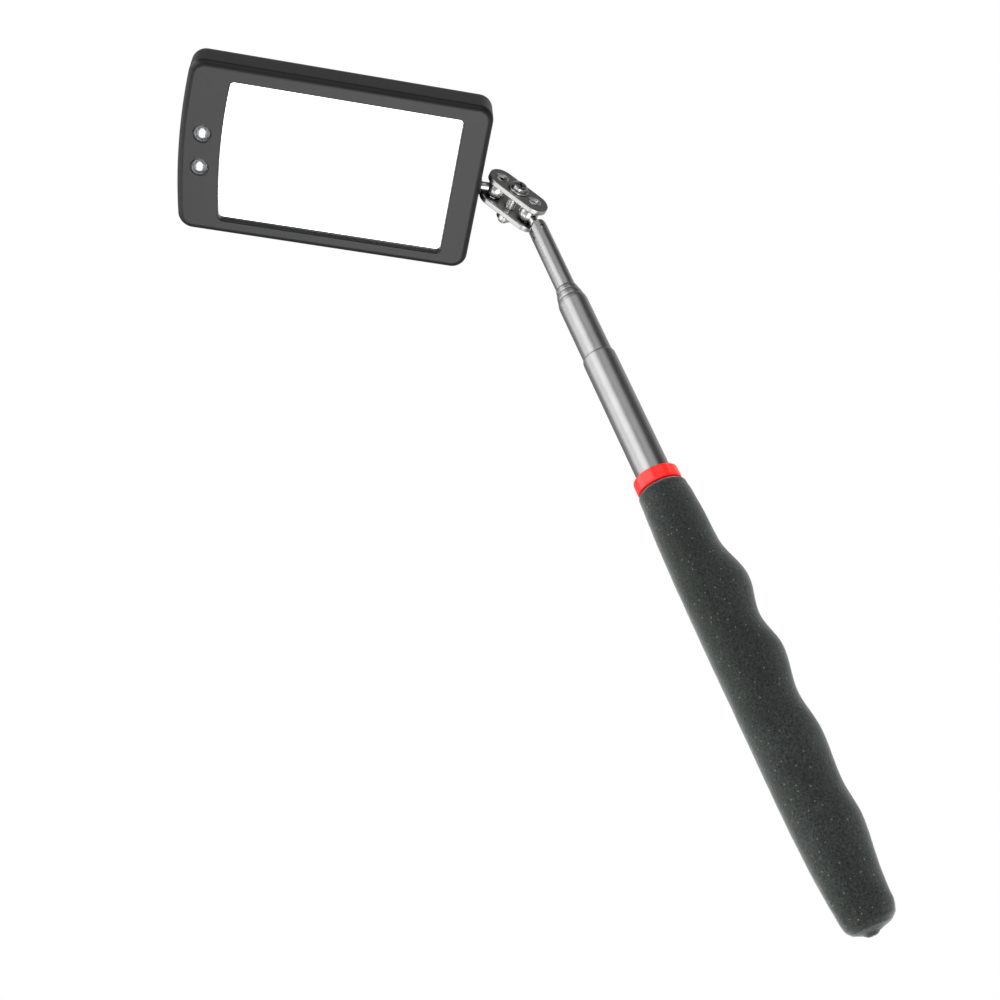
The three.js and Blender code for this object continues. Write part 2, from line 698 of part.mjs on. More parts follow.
const coverScrews = BOSS_SITES.map((site, i) =>
  part("cover_screw_" + (i + 1), coverScrewSolid(site), brightSteel()),
);

const head = group(
  "head",
  part("front_bezel", bezelSolid(), blackPlastic()),
  part("rear_cover", coverSolid(), blackPlastic()),
  part("mirror_glass", roundedSlab(GLASS), silveredGlass()),
  part("mirror_pad", padSolid(), greyFoam()),
  part("battery_tray", traySolid(), blackPlastic()),
  part("coin_cell_1", cellSolid(CELLS[0]), brightSteel()),
  part("coin_cell_2", cellSolid(CELLS[1]), brightSteel()),
  part("contact_upper", roundedSlab(CONTACT_UPPER), springBronze()),
  part("contact_side", contactSideSolid(), springBronze()),
  part("led_board", roundedSlab(BOARD), greenBoard()),
  part("led_upper", ledSolid(-LED.y), clearPlastic()),
  part("led_lower", ledSolid(LED.y), clearPlastic()),
  part("switch_body", switchBodySolid(), blackPlastic()),
  part("head_stem", rodAlongX(NECK_RADIUS, -NECK_IN_BALL, STEM.tip, NECK_FACETS), brightSteel()),
  part("stem_nut", stemNutSolid(), brightSteel()),
  part("wire_positive", wireSolid(WIRE_PATHS.wire_positive), redWire()),
  part("wire_negative", wireSolid(WIRE_PATHS.wire_negative), blackWire()),
  part("wire_switch", wireSolid(WIRE_PATHS.wire_switch), blackWire()),
  ...coverScrews,
  group("door", part("battery_door", doorSolid(), blackPlastic())),
  group("switch", part("switch_knob", switchKnobSolid(), blackPlastic())),
);

// ---------------------------------------------------------------- clamp

const END_STEPS = 7;

function stadium(start, end, radius) {
  return outlineOf([
    [start, 0, radius, QUARTER, 3 * QUARTER, END_STEPS],
    [end, 0, radius, -QUARTER, QUARTER, END_STEPS],
  ]);
}

// The seat that a ball sits in: a cone on the inside, a throat, and a wider rim on the outside.
function seatCutter(x) {
  const { innerRadius, throatRadius, throatDepth, rimRadius, rimDepth } = SEAT;
  const inner = PLATE.halfGap;
  const outer = inner + PLATE.thickness;
  const profile = [
    [inner - PAST, 0],
    [inner - PAST, innerRadius],
    [inner, innerRadius],
    [inner + throatDepth, throatRadius],
    [outer - rimDepth, throatRadius],
    [outer, rimRadius],
    [outer + PAST, rimRadius],
    [outer + PAST, 0],
  ];
  return turnedAboutZ(profile, 16, x);
}

const plateTop = PLATE.halfGap + PLATE.thickness;
const screwX = BALL_SPACING / 2;
const screwHole = CLAMP_SCREW.shank + CLAMP_SCREW.clearance;

// Both plates have this shape. The lower one is turned over about X.
function plateSolid() {
  const { halfGap, radius, overhang, edge } = PLATE;
  const outline = stadium(radius - overhang, BALL_SPACING + overhang - radius, radius);
  return cut(
    slab(outline, halfGap, plateTop, edge),
    seatCutter(0),
    seatCutter(BALL_SPACING),
    rodAlongZ(screwHole, 0, plateTop + PAST, screwX),
  );
}

function washerSolid() {
  const low = plateTop + SMALL_GAP;
  const high = low + WASHER.thickness;
  const profile = [
    [low, screwHole],
    [low, WASHER.radius],
    [high, WASHER.radius],
    [high, screwHole],
    [low, screwHole],
  ];
  return turnedAboutZ(profile, 16, screwX);
}

function clampScrewSolid() {
  const { shank, headRadius, headHeight, tip: proud } = CLAMP_SCREW;
  const under = plateTop + 2 * SMALL_GAP + WASHER.thickness;
  const top = under + headHeight;
  const tip = -plateTop - CLAMP_NUT.thickness - proud;
  const profile = [
    [tip, 0],
    [tip, shank - 0.3],
    [tip + 0.3, shank],
    [under, shank],
    [under, headRadius],
    [top - 0.35, headRadius],
    [top - 0.1, headRadius - 0.3],
    [top, headRadius - 0.9],
    [top, 0],
  ];
  const { width, reach, depth } = SCREW_CROSS;
  const half = width / 2;
  return cut(
    turnedAboutZ(profile, 16, screwX),
    block(screwX - half, screwX + half, -reach, reach, top - depth, top + PAST),
    block(screwX - reach, screwX + reach, -half, half, top - depth, top + PAST),
  );
}

function clampNutSolid() {
  const { radius, thickness, chamfer, clearance, facets } = CLAMP_NUT;
  const high = -plateTop - SMALL_GAP;
  const low = high - thickness;
  const bore = CLAMP_SCREW.shank + clearance;
  const profile = [
    [low, bore],
    [low, radius - chamfer],
    [low + chamfer, radius],
    [high, radius],
    [high, bore],
    [low, bore],
  ];
  return turnedAboutZ(profile, facets, screwX);
}

const upperPlate = part("clamp_plate_upper", plateSolid(), brightSteel());
const lowerPlate = part("clamp_plate_lower", plateSolid(), brightSteel());
lowerPlate.rotation.x = Math.PI;

const ballAndHead = group("second_ball", part("ball_2", ballWithBore(), brightSteel()), head);
ballAndHead.position.x = BALL_SPACING;
ballAndHead.rotation.set(radians(HEAD_ROLL), radians(HEAD_PITCH), radians(HEAD_YAW), "ZYX");

const clamp = group(
  "clamp",
  upperPlate,
  lowerPlate,
  part("clamp_washer", washerSolid(), brightSteel()),
  part("clamp_screw", clampScrewSolid(), brightSteel()),
  part("clamp_nut", clampNutSolid(), brightSteel()),
  ballAndHead,
);
clamp.position.x = STUD_LENGTH;
clamp.rotation.set(radians(CLAMP_ROLL), radians(CLAMP_PITCH), radians(CLAMP_YAW), "ZYX");

// ---------------------------------------------------------------- stud and fork

function studSolid() {
  const { thickness, radius, reach, neckStart } = TANG;
  const tang = slab(stadium(0, reach, radius), -thickness / 2, thickness / 2);
  const neck = rodAlongX(NECK_RADIUS, neckStart, STUD_LENGTH + NECK_IN_BALL, NECK_FACETS);
  return cut(joined(tang, neck), rodAlongZ(PIN_RADIUS + PIN_CLEARANCE, -radius, radius));
}

const firstBall = part("ball_1", ballWithBore().rotate([0, 0, 180]), brightSteel());
firstBall.position.x = STUD_LENGTH;
const stud = group("stud", part("fork_stud", studSolid(), brightSteel()), firstBall, clamp);
stud.position.x = PIN_X;
stud.rotation.z = radians(STUD_TILT);

// What the fork keeps: everything behind the pin, and a round end about it.
function forkTrim(solid) {
  const round = TUBES[4].radius;
  const reach = round + PAST;
  const corner = block(PIN_X, PIN_X + reach, -reach, reach, -reach, reach);
  const excess = cut(corner, rodAlongZ(round, -reach - PAST, reach + PAST, PIN_X, 0, 28));
  const half = FORK_SLOT.width / 2;
  const slot = block(FORK_SLOT.rear, PIN_X + reach, -reach, reach, -half, half);
  const pinHole = rodAlongZ(PIN_RADIUS + PIN_CLEARANCE, -reach, reach, PIN_X);
  return cut(solid, excess, slot, pinHole);
}

function pinSolid() {
  const end = PIN_HALF_LENGTH;
  const shoulder = end - PIN_CHAMFER;
  return turnedAboutZ([[-end, 0], [-shoulder, PIN_RADIUS], [shoulder, PIN_RADIUS], [end, 0]], 16, PIN_X);
}

const plug = rodAlongX(FORK_PLUG.radius, FORK_PLUG.rear, TUBES[4].front, TUBE_FACETS);
const fork = group(
  "fork",
  part("tube_5", forkTrim(tubeSolid(4)), chromedSteel()),
  part("fork_plug", forkTrim(plug), brightSteel()),
  part("fork_pin", pinSolid(), brightSteel()),
  stud,
);
fork.rotation.x = radians(FORK_ROLL);

// ---------------------------------------------------------------- the whole tool

const clips = [1, 2, 3, 4].map((index) => part("clip_" + (index + 1), clipSolid(index), springBronze()));
const innerTubes = [1, 2, 3].map((index) => part(TUBES[index].name, tubeSolid(index), chromedSteel()));
const shaft = [...clips, ...innerTubes].map((mesh) => group(mesh.name + "_stage", mesh));

export default group("inspection_mirror", handle, ...shaft, fork);
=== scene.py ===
"""Looks for the telescoping inspection mirror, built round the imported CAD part.

Shapes are drawn in millimetres in local frames and placed in metres in the row frame.
"""
import json
import math

import bmesh
import bpy
from mathutils import Matrix, Vector, noise


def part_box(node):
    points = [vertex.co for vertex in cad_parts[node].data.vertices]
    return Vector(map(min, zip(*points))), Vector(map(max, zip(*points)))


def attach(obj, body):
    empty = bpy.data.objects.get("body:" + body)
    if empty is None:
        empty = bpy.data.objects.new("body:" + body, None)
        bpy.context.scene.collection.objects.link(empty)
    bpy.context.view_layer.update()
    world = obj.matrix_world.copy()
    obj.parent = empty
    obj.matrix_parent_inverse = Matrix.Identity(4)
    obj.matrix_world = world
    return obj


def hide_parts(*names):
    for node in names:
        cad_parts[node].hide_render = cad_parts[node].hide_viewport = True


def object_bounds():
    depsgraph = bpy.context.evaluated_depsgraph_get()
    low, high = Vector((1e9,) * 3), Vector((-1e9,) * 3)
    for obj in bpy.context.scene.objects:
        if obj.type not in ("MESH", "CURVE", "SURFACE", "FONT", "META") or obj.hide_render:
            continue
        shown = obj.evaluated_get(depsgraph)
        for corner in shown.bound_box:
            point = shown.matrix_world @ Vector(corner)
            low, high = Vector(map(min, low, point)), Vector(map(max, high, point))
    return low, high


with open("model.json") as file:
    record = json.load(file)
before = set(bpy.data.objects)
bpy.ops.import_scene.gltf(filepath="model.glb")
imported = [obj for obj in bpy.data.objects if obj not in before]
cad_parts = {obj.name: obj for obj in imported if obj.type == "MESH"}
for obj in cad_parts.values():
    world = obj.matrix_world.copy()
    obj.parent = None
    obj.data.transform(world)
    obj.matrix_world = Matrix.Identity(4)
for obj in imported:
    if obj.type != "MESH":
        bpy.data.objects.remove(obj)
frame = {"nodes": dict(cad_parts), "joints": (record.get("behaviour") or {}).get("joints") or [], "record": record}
cad_low, cad_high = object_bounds()

MM = 0.001
JOINTS = {joint["name"]: joint for joint in frame["joints"]}
BODY_OF = {
    node: body
    for body, nodes in frame["record"]["behaviour"]["bodies"].items()
    for node in nodes
}


# ---- local frames


def local_frame(origin, x_axis, z_axis):
    """A matrix from millimetres in a local frame to metres in the row frame."""
    x = Vector(x_axis).normalized()
    z = (Vector(z_axis) - x * x.dot(Vector(z_axis))).normalized()
    y = z.cross(x)
    turn = Matrix((x, y, z)).transposed().to_4x4()
    return Matrix.Translation(Vector(origin)) @ turn @ Matrix.Scale(MM, 4)


PIN = Vector(JOINTS["fork_tilt"]["pos_m"])
BALL_1 = Vector(JOINTS["clamp_swing"]["pos_m"])
BALL_2 = Vector(JOINTS["head_roll"]["pos_m"])
SHAFT = Matrix.Scale(MM, 4)
FORK = local_frame(PIN, (1, 0, 0), JOINTS["fork_tilt"]["axis"])
STUD = local_frame(PIN, JOINTS["first_ball_roll"]["axis"], JOINTS["fork_tilt"]["axis"])
CLAMP = local_frame(BALL_1, BALL_2 - BALL_1, JOINTS["clamp_swing"]["axis"])
HEAD_X = Vector(JOINTS["head_roll"]["axis"])
HEAD_Y = Vector(JOINTS["battery_door_slide"]["axis"])
HEAD = local_frame(BALL_2, HEAD_X, HEAD_X.cross(HEAD_Y))


# ---- sizes, in millimetres and degrees

TUBE_WALL = 0.3
RUNNING_GAP = 0.06
NECK_DEPTH = 0.42
NECK_LENGTH = 4.2
TUBE_NAMES = ["outer_tube", "tube_2", "tube_3", "tube_4", "tube_5"]
TUBE_SEGMENTS = 96

# The plates: from the balls' middle to the inner face, then the rest.
PLATE_GAP = 2.45
PLATE_THICK = 1.6
PLATE_RADIUS = 4.12
PLATE_REACH_1 = 4.35
PLATE_REACH_2 = 3.95
PLATE_TURN = 1.0
PLATE_TOP = PLATE_GAP + PLATE_THICK
BOSS_HEIGHT = 0.16
SEAT_MOUTH = 1.85
SEAT_BORE = 1.3
SPACING = (BALL_2 - BALL_1).length / MM
SCREW_X = SPACING / 2
STUD_LENGTH = (BALL_1 - PIN).length / MM
BALL_RADIUS = 3.0
NECK_RADIUS = 1.35

# The head's outlines, by distance from the second ball. The shifts are across the head.
SHELL = {"near": 5.36, "far": 91.5, "half": 25.42, "corner": 4.4, "bow": 182}
WINDOW = {"near": 13.6, "far": 79.9, "half": 21.0, "corner": 1.3, "bow": 171}
WINDOW_SHIFT = 0.35
FRONT = 5.0
BACK = -5.0
SEAM = -3.4
SHELL_WALL = 1.6
FRONT_FILLET = 1.85
BACK_FILLET = 0.45
SEAM_BEVEL = 0.18
WINDOW_LIP = 0.3
GLASS_X = (13.0, 80.6)
GLASS_HALF = 22
LED_X = 85.15
LED_Y = 5.05
LED_SHIFT = 0.72
LED_RADIUS = 2.42
SCREW_SITES = [(10, 18.5), (10, -18.5), (84.5, 17.5), (84.5, -17.5)]


# ---- mesh helpers


def new_object(name, bm, matrix):
    bmesh.ops.recalc_face_normals(bm, faces=bm.faces)
    bm.transform(matrix)
    mesh = bpy.data.meshes.new(name)
    bm.to_mesh(mesh)
    bm.free()
    ob = bpy.data.objects.new(name, mesh)
    bpy.context.scene.collection.objects.link(ob)
    return ob


def rounded(points, steps=5, closed=False):
    """A polyline with its corners rounded. Each point is (a, b) or (a, b, corner radius)."""
    made = []
    count = len(points)
    for i, point in enumerate(points):
        radius = point[2] if len(point) > 2 else 0
        here = Vector(point[:2])
        is_end = not closed and i in (0, count - 1)
        if radius <= 0 or is_end:
            made.append(here)
            continue
        before = Vector(points[i - 1][:2]) - here
        after = Vector(points[(i + 1) % count][:2]) - here
        half_angle = before.angle(after) / 2
        if half_angle > math.radians(88):
            made.append(here)
            continue
        reach = min(radius / math.tan(half_angle), before.length * 0.49, after.length * 0.49)
        start = here + before.normalized() * reach
        end = here + after.normalized() * reach
        for k in range(steps + 1):
            t = k / steps
            made.append((1 - t) ** 2 * start + 2 * t * (1 - t) * here + t * t * end)
    return made


def bridge(bm, rings, closed=False):
    """Joins neighbouring rings of points with faces. A ring of one point is a tip."""
    pairs = list(zip(rings, rings[1:]))
    if closed:
        pairs.append((rings[-1], rings[0]))
    for a, b in pairs:
        count = max(len(a), len(b))
        for i in range(count):
            j = (i + 1) % count
            if len(a) > 1 and len(b) > 1:
                bm.faces.new((a[i], a[j], b[j], b[i]))
            elif len(a) > 1:
                bm.faces.new((a[i], a[j], b[0]))
            elif len(b) > 1:
                bm.faces.new((a[0], b[j], b[i]))


def turned(name, profile, matrix, segments=64, axis="X", closed=False, offset=(0, 0)):
    """A surface turned about the local X or Z axis. Profile points are (along, radius, corner radius)."""
    bm = bmesh.new()
    rings = []
    for along, radius in rounded(profile, closed=closed):
        ring = []
        for i in range(1 if radius < 1e-6 else segments):
            angle = 2 * math.pi * i / segments
            u = radius * math.cos(angle) + offset[0]
            v = radius * math.sin(angle) + offset[1]
            ring.append(bm.verts.new((along, u, v) if axis == "X" else (u, v, along)))
        rings.append(ring)
    bridge(bm, rings, closed)
    return new_object(name, bm, matrix)


def lofted(name, rings, matrix):
    """A closed surface through rings of points with the same count, capped at both ends."""
    bm = bmesh.new()
    made = [[bm.verts.new(p) for p in ring] for ring in rings]
    bridge(bm, made)
    bm.faces.new(made[0])
    bm.faces.new(made[-1])
    return new_object(name, bm, matrix)


def arc(cx, cy, radius, start, end, steps):
    points = []
    for i in range(steps + 1):
        angle = start + (end - start) * i / steps
        points.append((cx + radius * math.cos(angle), cy + radius * math.sin(angle)))
    return points


QUARTER = math.pi / 2


def without_repeats(points):
    kept = []
    for point in points:
        if not kept or math.dist(kept[-1], point) > 1e-4:
            kept.append(point)
    if math.dist(kept[0], kept[-1]) < 1e-4:
        kept.pop()
    return kept


def bowed_outline(shape, inset=0.0, steps=10):
    """The outline of the head: a rounded rectangle whose far side bows outwards."""
    corner = max(shape["corner"] - inset, 0.2)
    bow = shape["bow"] - inset
    near = shape["near"] + inset
    y = shape["half"] - inset - corner
    centre = shape["far"] - shape["bow"]
    x = centre + math.sqrt((bow - corner) ** 2 - y * y)
    turn = math.atan2(y, x - centre)
    return without_repeats(
        arc(near + corner, -y, corner, 2 * QUARTER, 3 * QUARTER, steps)
        + arc(x, -y, corner, -QUARTER, -turn, steps)
        + arc(centre, 0, bow, -turn, turn, 2 * steps)
        + arc(x, y, corner, turn, QUARTER, steps)
        + arc(near + corner, y, corner, QUARTER, 2 * QUARTER, steps)
    )


def box_outline(x0, x1, y0, y1, corner, steps=6):
    return without_repeats(
        arc(x0 + corner, y0 + corner, corner, 2 * QUARTER, 3 * QUARTER, steps)
        + arc(x1 - corner, y0 + corner, corner, 3 * QUARTER, 4 * QUARTER, steps)
        + arc(x1 - corner, y1 - corner, corner, 0, QUARTER, steps)
        + arc(x0 + corner, y1 - corner, corner, QUARTER, 2 * QUARTER, steps)
    )


def stadium_outline(x0, x1, radius, steps=24):
    return without_repeats(
        arc(x0, 0, radius, QUARTER, 3 * QUARTER, steps)
        + arc(x1, 0, radius, -QUARTER, QUARTER, steps)
    )


def stacked(name, outline_at, levels, matrix):
    """A solid from outlines at heights, where outline_at(inset) gives each one.

    Levels are (z, inset, corner radius).
    """
    rings = [[(x, y, z) for x, y in outline_at(inset)] for z, inset in rounded(levels)]
    return lofted(name, rings, matrix)


def block(name, x, y, z, corner, steps=6, matrix=HEAD):
    """A straight block with rounded upright edges, from (low, high) pairs."""
    levels = [(z[0], 0), (z[1], 0)]
    return stacked(name, lambda inset: box_outline(*x, *y, corner, steps), levels, matrix)


def boolean(target, tools, operation="DIFFERENCE"):
    """Cuts, joins or crosses the target with tools, which are used up."""
    for tool in tools:
        modifier = target.modifiers.new("cut", "BOOLEAN")
        modifier.operation = operation
        modifier.solver = "EXACT"
        modifier.object = tool
    depsgraph = bpy.context.evaluated_depsgraph_get()
    mesh = bpy.data.meshes.new_from_object(target.evaluated_get(depsgraph))
    target.modifiers.clear()
    old = target.data
    target.data = mesh
    bpy.data.meshes.remove(old)
    for tool in tools:
        bpy.data.objects.remove(tool)
    return target


def smooth(ob, degrees=32, weighted=True):
    """Smooth shading with sharp edges above an angle."""
    bm = bmesh.new()
    bm.from_mesh(ob.data)
    limit = math.radians(degrees)
    for face in bm.faces:
        face.smooth = True
    for edge in bm.edges:
        edge.smooth = not (edge.is_manifold and edge.calc_face_angle(0) > limit)
    bm.to_mesh(ob.data)
    bm.free()
    if weighted:
        modifier = ob.modifiers.new("face_weights", "WEIGHTED_NORMAL")
        modifier.keep_sharp = True
        modifier.weight = 80


def dress(ob, node, material, hides=None, degrees=32, weighted=True):
    """Gives a piece its material and its CAD node's body, and hides the node it stands for."""
    ob.data.materials.clear()
    ob.data.materials.append(material)
    smooth(ob, degrees, weighted)
    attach(ob, BODY_OF[node])
    hidden = [node] if hides is None else hides
    if hidden:
        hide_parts(*hidden)


# ---- materials


class Nodes:
    """Short names for building a shader in a material or a world."""

    def __init__(self, owner):
        owner.use_nodes = True
        self.owner = owner
        self.tree = owner.node_tree
        self.bsdf = self.tree.nodes.get("Principled BSDF")
        self.place = self.made("TexCoord", None, {}).outputs

    def put(self, value, socket):
        """Links an output to a socket, or sets the socket to a plain value."""
        if isinstance(value, bpy.types.NodeSocket):
            self.tree.links.new(value, socket)
        else:
            socket.default_value = value

    def made(self, kind, output, inputs, **settings):
        """Adds a node, and gives one of its outputs, or the node itself for None."""
        node = self.tree.nodes.new("ShaderNode" + kind)
        for key, value in settings.items():
            setattr(node, key, value)
        for key, value in inputs.items():
            self.put(value, node.inputs[key])
        return node if output is None else node.outputs[output]

    def surface(self, **values):
        """Fills inputs of the material's main shader. An underscore stands for a space."""
        for key, value in values.items():
            self.put(value, self.bsdf.inputs[key.replace("_", " ")])

    def noise(self, scale, detail=3.0, vector=None, roughness=0.5):
        vector = vector or self.place["Object"]
        inputs = {"Scale": scale, "Detail": detail, "Roughness": roughness, "Vector": vector}
        return self.made("TexNoise", "Fac", inputs)

    def stretched(self, scale):
        return self.made("Mapping", "Vector", {"Scale": scale, "Vector": self.place["Object"]})

    def voronoi(self, scale):
        return self.made("TexVoronoi", None, {"Scale": scale, "Vector": self.place["Object"]})

    def ramp(self, source, stops, interpolation="LINEAR"):
        """A colour ramp from (position, (red, green, blue)) stops."""
        node = self.made("ValToRGB", None, {"Fac": source})
        node.color_ramp.interpolation = interpolation
        elements = node.color_ramp.elements
        while len(elements) < len(stops):
            elements.new(0.5)
        for element, (position, colour) in zip(elements, stops):
            element.position = position
            element.color = (*colour, 1)
        return node.outputs["Color"]

    def spread(self, source, low, high, from_low=0.0, from_high=1.0, **settings):
        limits = {"From Min": from_low, "From Max": from_high, "To Min": low, "To Max": high}
        return self.made("MapRange", "Result", {"Value": source, **limits}, **settings)

    def math(self, operation, a, b):
        return self.made("Math", "Value", {0: a, 1: b}, operation=operation)

    def tinted(self, factor, a, b, blend="MIX"):
        """Two colours mixed. The colour sockets of this node are its seventh and eighth."""
        return self.made("Mix", 2, {0: factor, 6: a, 7: b}, data_type="RGBA", blend_type=blend)

    def either(self, factor, a, b):
        """Shader a where the factor is 0, and shader b where it is 1."""
        return self.made("MixShader", 0, {0: factor, 1: a, 2: b})

    def bump(self, *layers):
        """Bump layers of (height, distance in metres, strength), each on top of the last."""
        normal = None
        for height, distance, strength in layers:
            inputs = {"Distance": distance, "Strength": strength, "Height": height}
            if normal is not None:
                inputs["Normal"] = normal
            normal = self.made("Bump", "Normal", inputs)
        self.surface(Normal=normal)


def painted(name):
    """The nodes of a new material."""
    return Nodes(bpy.data.materials.new(name))


def shaded(colour, factor):
    return [min(1, channel * factor) for channel in colour]


def steel(name, colour, roughness, streaks, grain=0.05, edge_wear=0.0, crevice_shade=0.0):
    """Steel with fine drawing lines, faint smudges and uneven roughness.

    The last argument is how far off, in metres, another surface darkens its colour: painted shade in crevices and
    between parts.
    """
    n = painted(name)
    lines = n.noise(1.0, 4.0, n.stretched(streaks), 0.6)
    smudge = n.noise(160.0, 3.0)
    tint = n.ramp(smudge, [(0.3, shaded(colour, 0.93)), (0.7, shaded(colour, 1.04))])
    if crevice_shade:
        # Painted shade: the colour darkens where another surface is near, as in crevices, gaps and tube mouths.
        near = n.made("AmbientOcclusion", "AO", {"Distance": crevice_shade}, samples=8)
        tint = n.tinted(1.0, tint, n.spread(near, 0.12, 1.0, 0.15, 0.85), "MULTIPLY")
    drawn = n.spread(lines, roughness - 0.04, roughness + 0.04)
    rough = n.math("ADD", drawn, n.spread(smudge, -0.02, 0.03))
    if edge_wear:
        rough = n.math("ADD", rough, n.spread(n.noise(900.0, 2.0), 0.0, edge_wear))
    n.surface(Metallic=1.0, Base_Color=tint, Roughness=rough)
    n.bump((lines, 0.00002, grain))
    return n.owner


def moulded_plastic(name, colour, roughness, grain=0.00004):
    """Satin moulded plastic with a fine spark-eroded grain, faint flow marks and lighter rubbed patches."""
    n = painted(name)
    flow = n.noise(60.0, 4.0, n.stretched((1.0, 0.35, 1.0)))
    fine = n.noise(5200.0, 2.0)
    pits = n.voronoi(3800.0).outputs["Distance"]
    eroded = n.spread(fine, roughness - 0.05, roughness + 0.05)
    n.surface(
        Base_Color=n.ramp(flow, [(0.25, shaded(colour, 0.86)), (0.75, shaded(colour, 1.12))]),
        Roughness=n.math("ADD", eroded, n.spread(flow, -0.03, 0.05)),
        Specular_IOR_Level=0.5,
    )
    n.bump((fine, grain, 0.35), (pits, grain, 0.2))
    return n.owner


def foam_material():
    """Closed-cell foam: dark grey with a green cast, fine open pores, pale specks and a dusty sheen."""
    n = painted("foam_grey")
    cloud = n.noise(70.0, 4.0)
    grain = n.noise(1800.0, 4.0, roughness=0.75)
    pores = n.voronoi(2600.0).outputs["Distance"]
    base = n.ramp(cloud, [(0.3, (0.022, 0.026, 0.023)), (0.7, (0.031, 0.036, 0.033))])
    dark_grain = n.spread(grain, 0.15, 2.0, 0.28, 0.72)
    dark_pores = n.spread(pores, 0.55, 1.25, 0.0, 0.6)
    grainy = n.tinted(1.0, base, n.math("MULTIPLY", dark_grain, dark_pores), "MULTIPLY")
    specks = n.voronoi(760.0)
    chance = n.made("SeparateColor", 0, {0: specks.outputs["Color"]})
    is_dot = n.math("LESS_THAN", specks.outputs["Distance"], 0.15)
    is_chosen = n.math("GREATER_THAN", chance, 0.62)
    speck_share = n.math("MULTIPLY", n.math("MULTIPLY", is_dot, is_chosen), 0.45)
    n.surface(
        Base_Color=n.tinted(speck_share, grainy, (0.32, 0.31, 0.24, 1)),
        Roughness=0.92,
        Specular_IOR_Level=0.25,
        Sheen_Weight=1.0,
        Sheen_Roughness=0.38,
        Sheen_Tint=(0.80, 0.84, 0.82, 1),
    )
    n.bump((cloud, 0.0004, 0.15), (grain, 0.00012, 0.5), (pores, 0.00015, 0.4))
    return n.owner


def glossy_red():
    """Bright red plastic with a soft gloss. A little emission keeps its shaded side red."""
    n = painted("collar_red")
    cloud = n.noise(120.0, 3.0)
    fine = n.noise(3000.0, 2.0)
    n.surface(
        Base_Color=n.ramp(cloud, [(0.3, (0.90, 0.016, 0.010)), (0.7, (1.0, 0.026, 0.018))]),
        Emission_Color=(1.0, 0.012, 0.008, 1),
        Emission_Strength=0.30,
        Roughness=n.spread(fine, 0.26, 0.38),
        Coat_Weight=0.7,
        Coat_Roughness=0.2,
    )
    n.bump((fine, 0.00002, 0.25))
    return n.owner


def mirror_material():
    """Silvered glass with a trace of dust."""
    n = painted("silvered_glass")
    dust = n.noise(900.0, 4.0)
    n.surface(
        Metallic=1.0,
        Base_Color=n.ramp(dust, [(0.35, (0.93, 0.945, 0.95)), (0.8, (0.955, 0.965, 0.97))]),
        Roughness=n.spread(dust, 0.005, 0.03),
        Coat_Weight=1.0,
        Coat_Roughness=0.01,
    )
    return n.owner


def clear_lens():
    """The clear epoxy of a lamp, with faint swirls."""
    n = painted("lamp_epoxy")
    swirl = n.noise(500.0, 2.0)
    n.surface(
        Base_Color=n.ramp(swirl, [(0.2, (0.94, 0.96, 0.98)), (0.8, (1, 1, 1))]),
        Transmission_Weight=1.0,
        IOR=1.5,
        Roughness=0.03,
    )
    n.bump((swirl, 0.00002, 0.15))
    return n.owner


def painted_glow_pad():
    """The pale pad in a lamp; its glow is painted light, standing in for the studio light it throws straight back.
    """
    n = painted("painted_glow_pad")
    cloud = n.noise(900.0, 3.0)
    n.surface(
        Base_Color=n.ramp(cloud, [(0.3, (0.90, 0.91, 0.92)), (0.7, (0.97, 0.97, 0.97))]),
        Emission_Color=(1, 1, 1, 1),
        Emission_Strength=0.7,
        Roughness=0.5,
    )
    n.bump((cloud, 0.00003, 0.3))
    return n.owner


def plain_detail(name, colour, roughness, metallic=0.0, scale=400.0, grain=0.00003):
    """A surface with slight colour mottling, uneven roughness and a fine grain."""
    n = painted(name)
    cloud = n.noise(scale, 4.0)
    n.surface(
        Base_Color=n.ramp(cloud, [(0.3, shaded(colour, 0.85)), (0.7, shaded(colour, 1.1))]),
        Roughness=n.spread(cloud, roughness - 0.06, roughness + 0.08),
        Metallic=metallic,
    )
    n.bump((n.noise(scale * 8, 2.0), grain, 0.4))
    return n.owner


ALONG_TUBE = (18.0, 2600.0, 2600.0)
ALONG_PLATE = (300.0, 1500.0, 1500.0)
EVERY_WAY = (900.0, 900.0, 900.0)
# The last number given to the tube, bright and plate steels is how far their painted shade reaches into crevices.
TUBE_STEEL = steel("tube_steel", (0.62, 0.62, 0.615), 0.36, ALONG_TUBE, crevice_shade=0.0014)
# A lighter copy of the plate steel for the pressed bosses: a painted highlight round the ball seats.
RIM_STEEL_PAINTED_HIGHLIGHT = steel("rim_steel_painted_highlight", (0.90, 0.895, 0.885), 0.26, EVERY_WAY, 0.06, 0.04)
BRIGHT_STEEL = steel("bright_steel", (0.80, 0.795, 0.785), 0.22, EVERY_WAY, 0.06, 0.05, 0.0022)
PLATE_STEEL = steel("plate_steel", (0.66, 0.655, 0.645), 0.26, ALONG_PLATE, 0.12, 0.08, 0.0022)
BLACK_SHELL = moulded_plastic("shell_plastic", (0.009, 0.009, 0.0092), 0.36, 0.00003)
BACK_SHELL = moulded_plastic("back_plastic", (0.045, 0.046, 0.048), 0.55, 0.00006)
INNER_PLASTIC = moulded_plastic("inner_plastic", (0.06, 0.06, 0.06), 0.6)
FOAM = foam_material()
RED = glossy_red()
MIRROR = mirror_material()
LENS = clear_lens()
BOARD = plain_detail("board_green", (0.03, 0.16, 0.07), 0.45)
BRONZE = plain_detail("contact_bronze", (0.72, 0.50, 0.24), 0.32, 1.0)
RED_WIRE = plain_detail("wire_red", (0.50, 0.03, 0.02), 0.45)
BLACK_WIRE = plain_detail("wire_black", (0.02, 0.02, 0.02), 0.45)
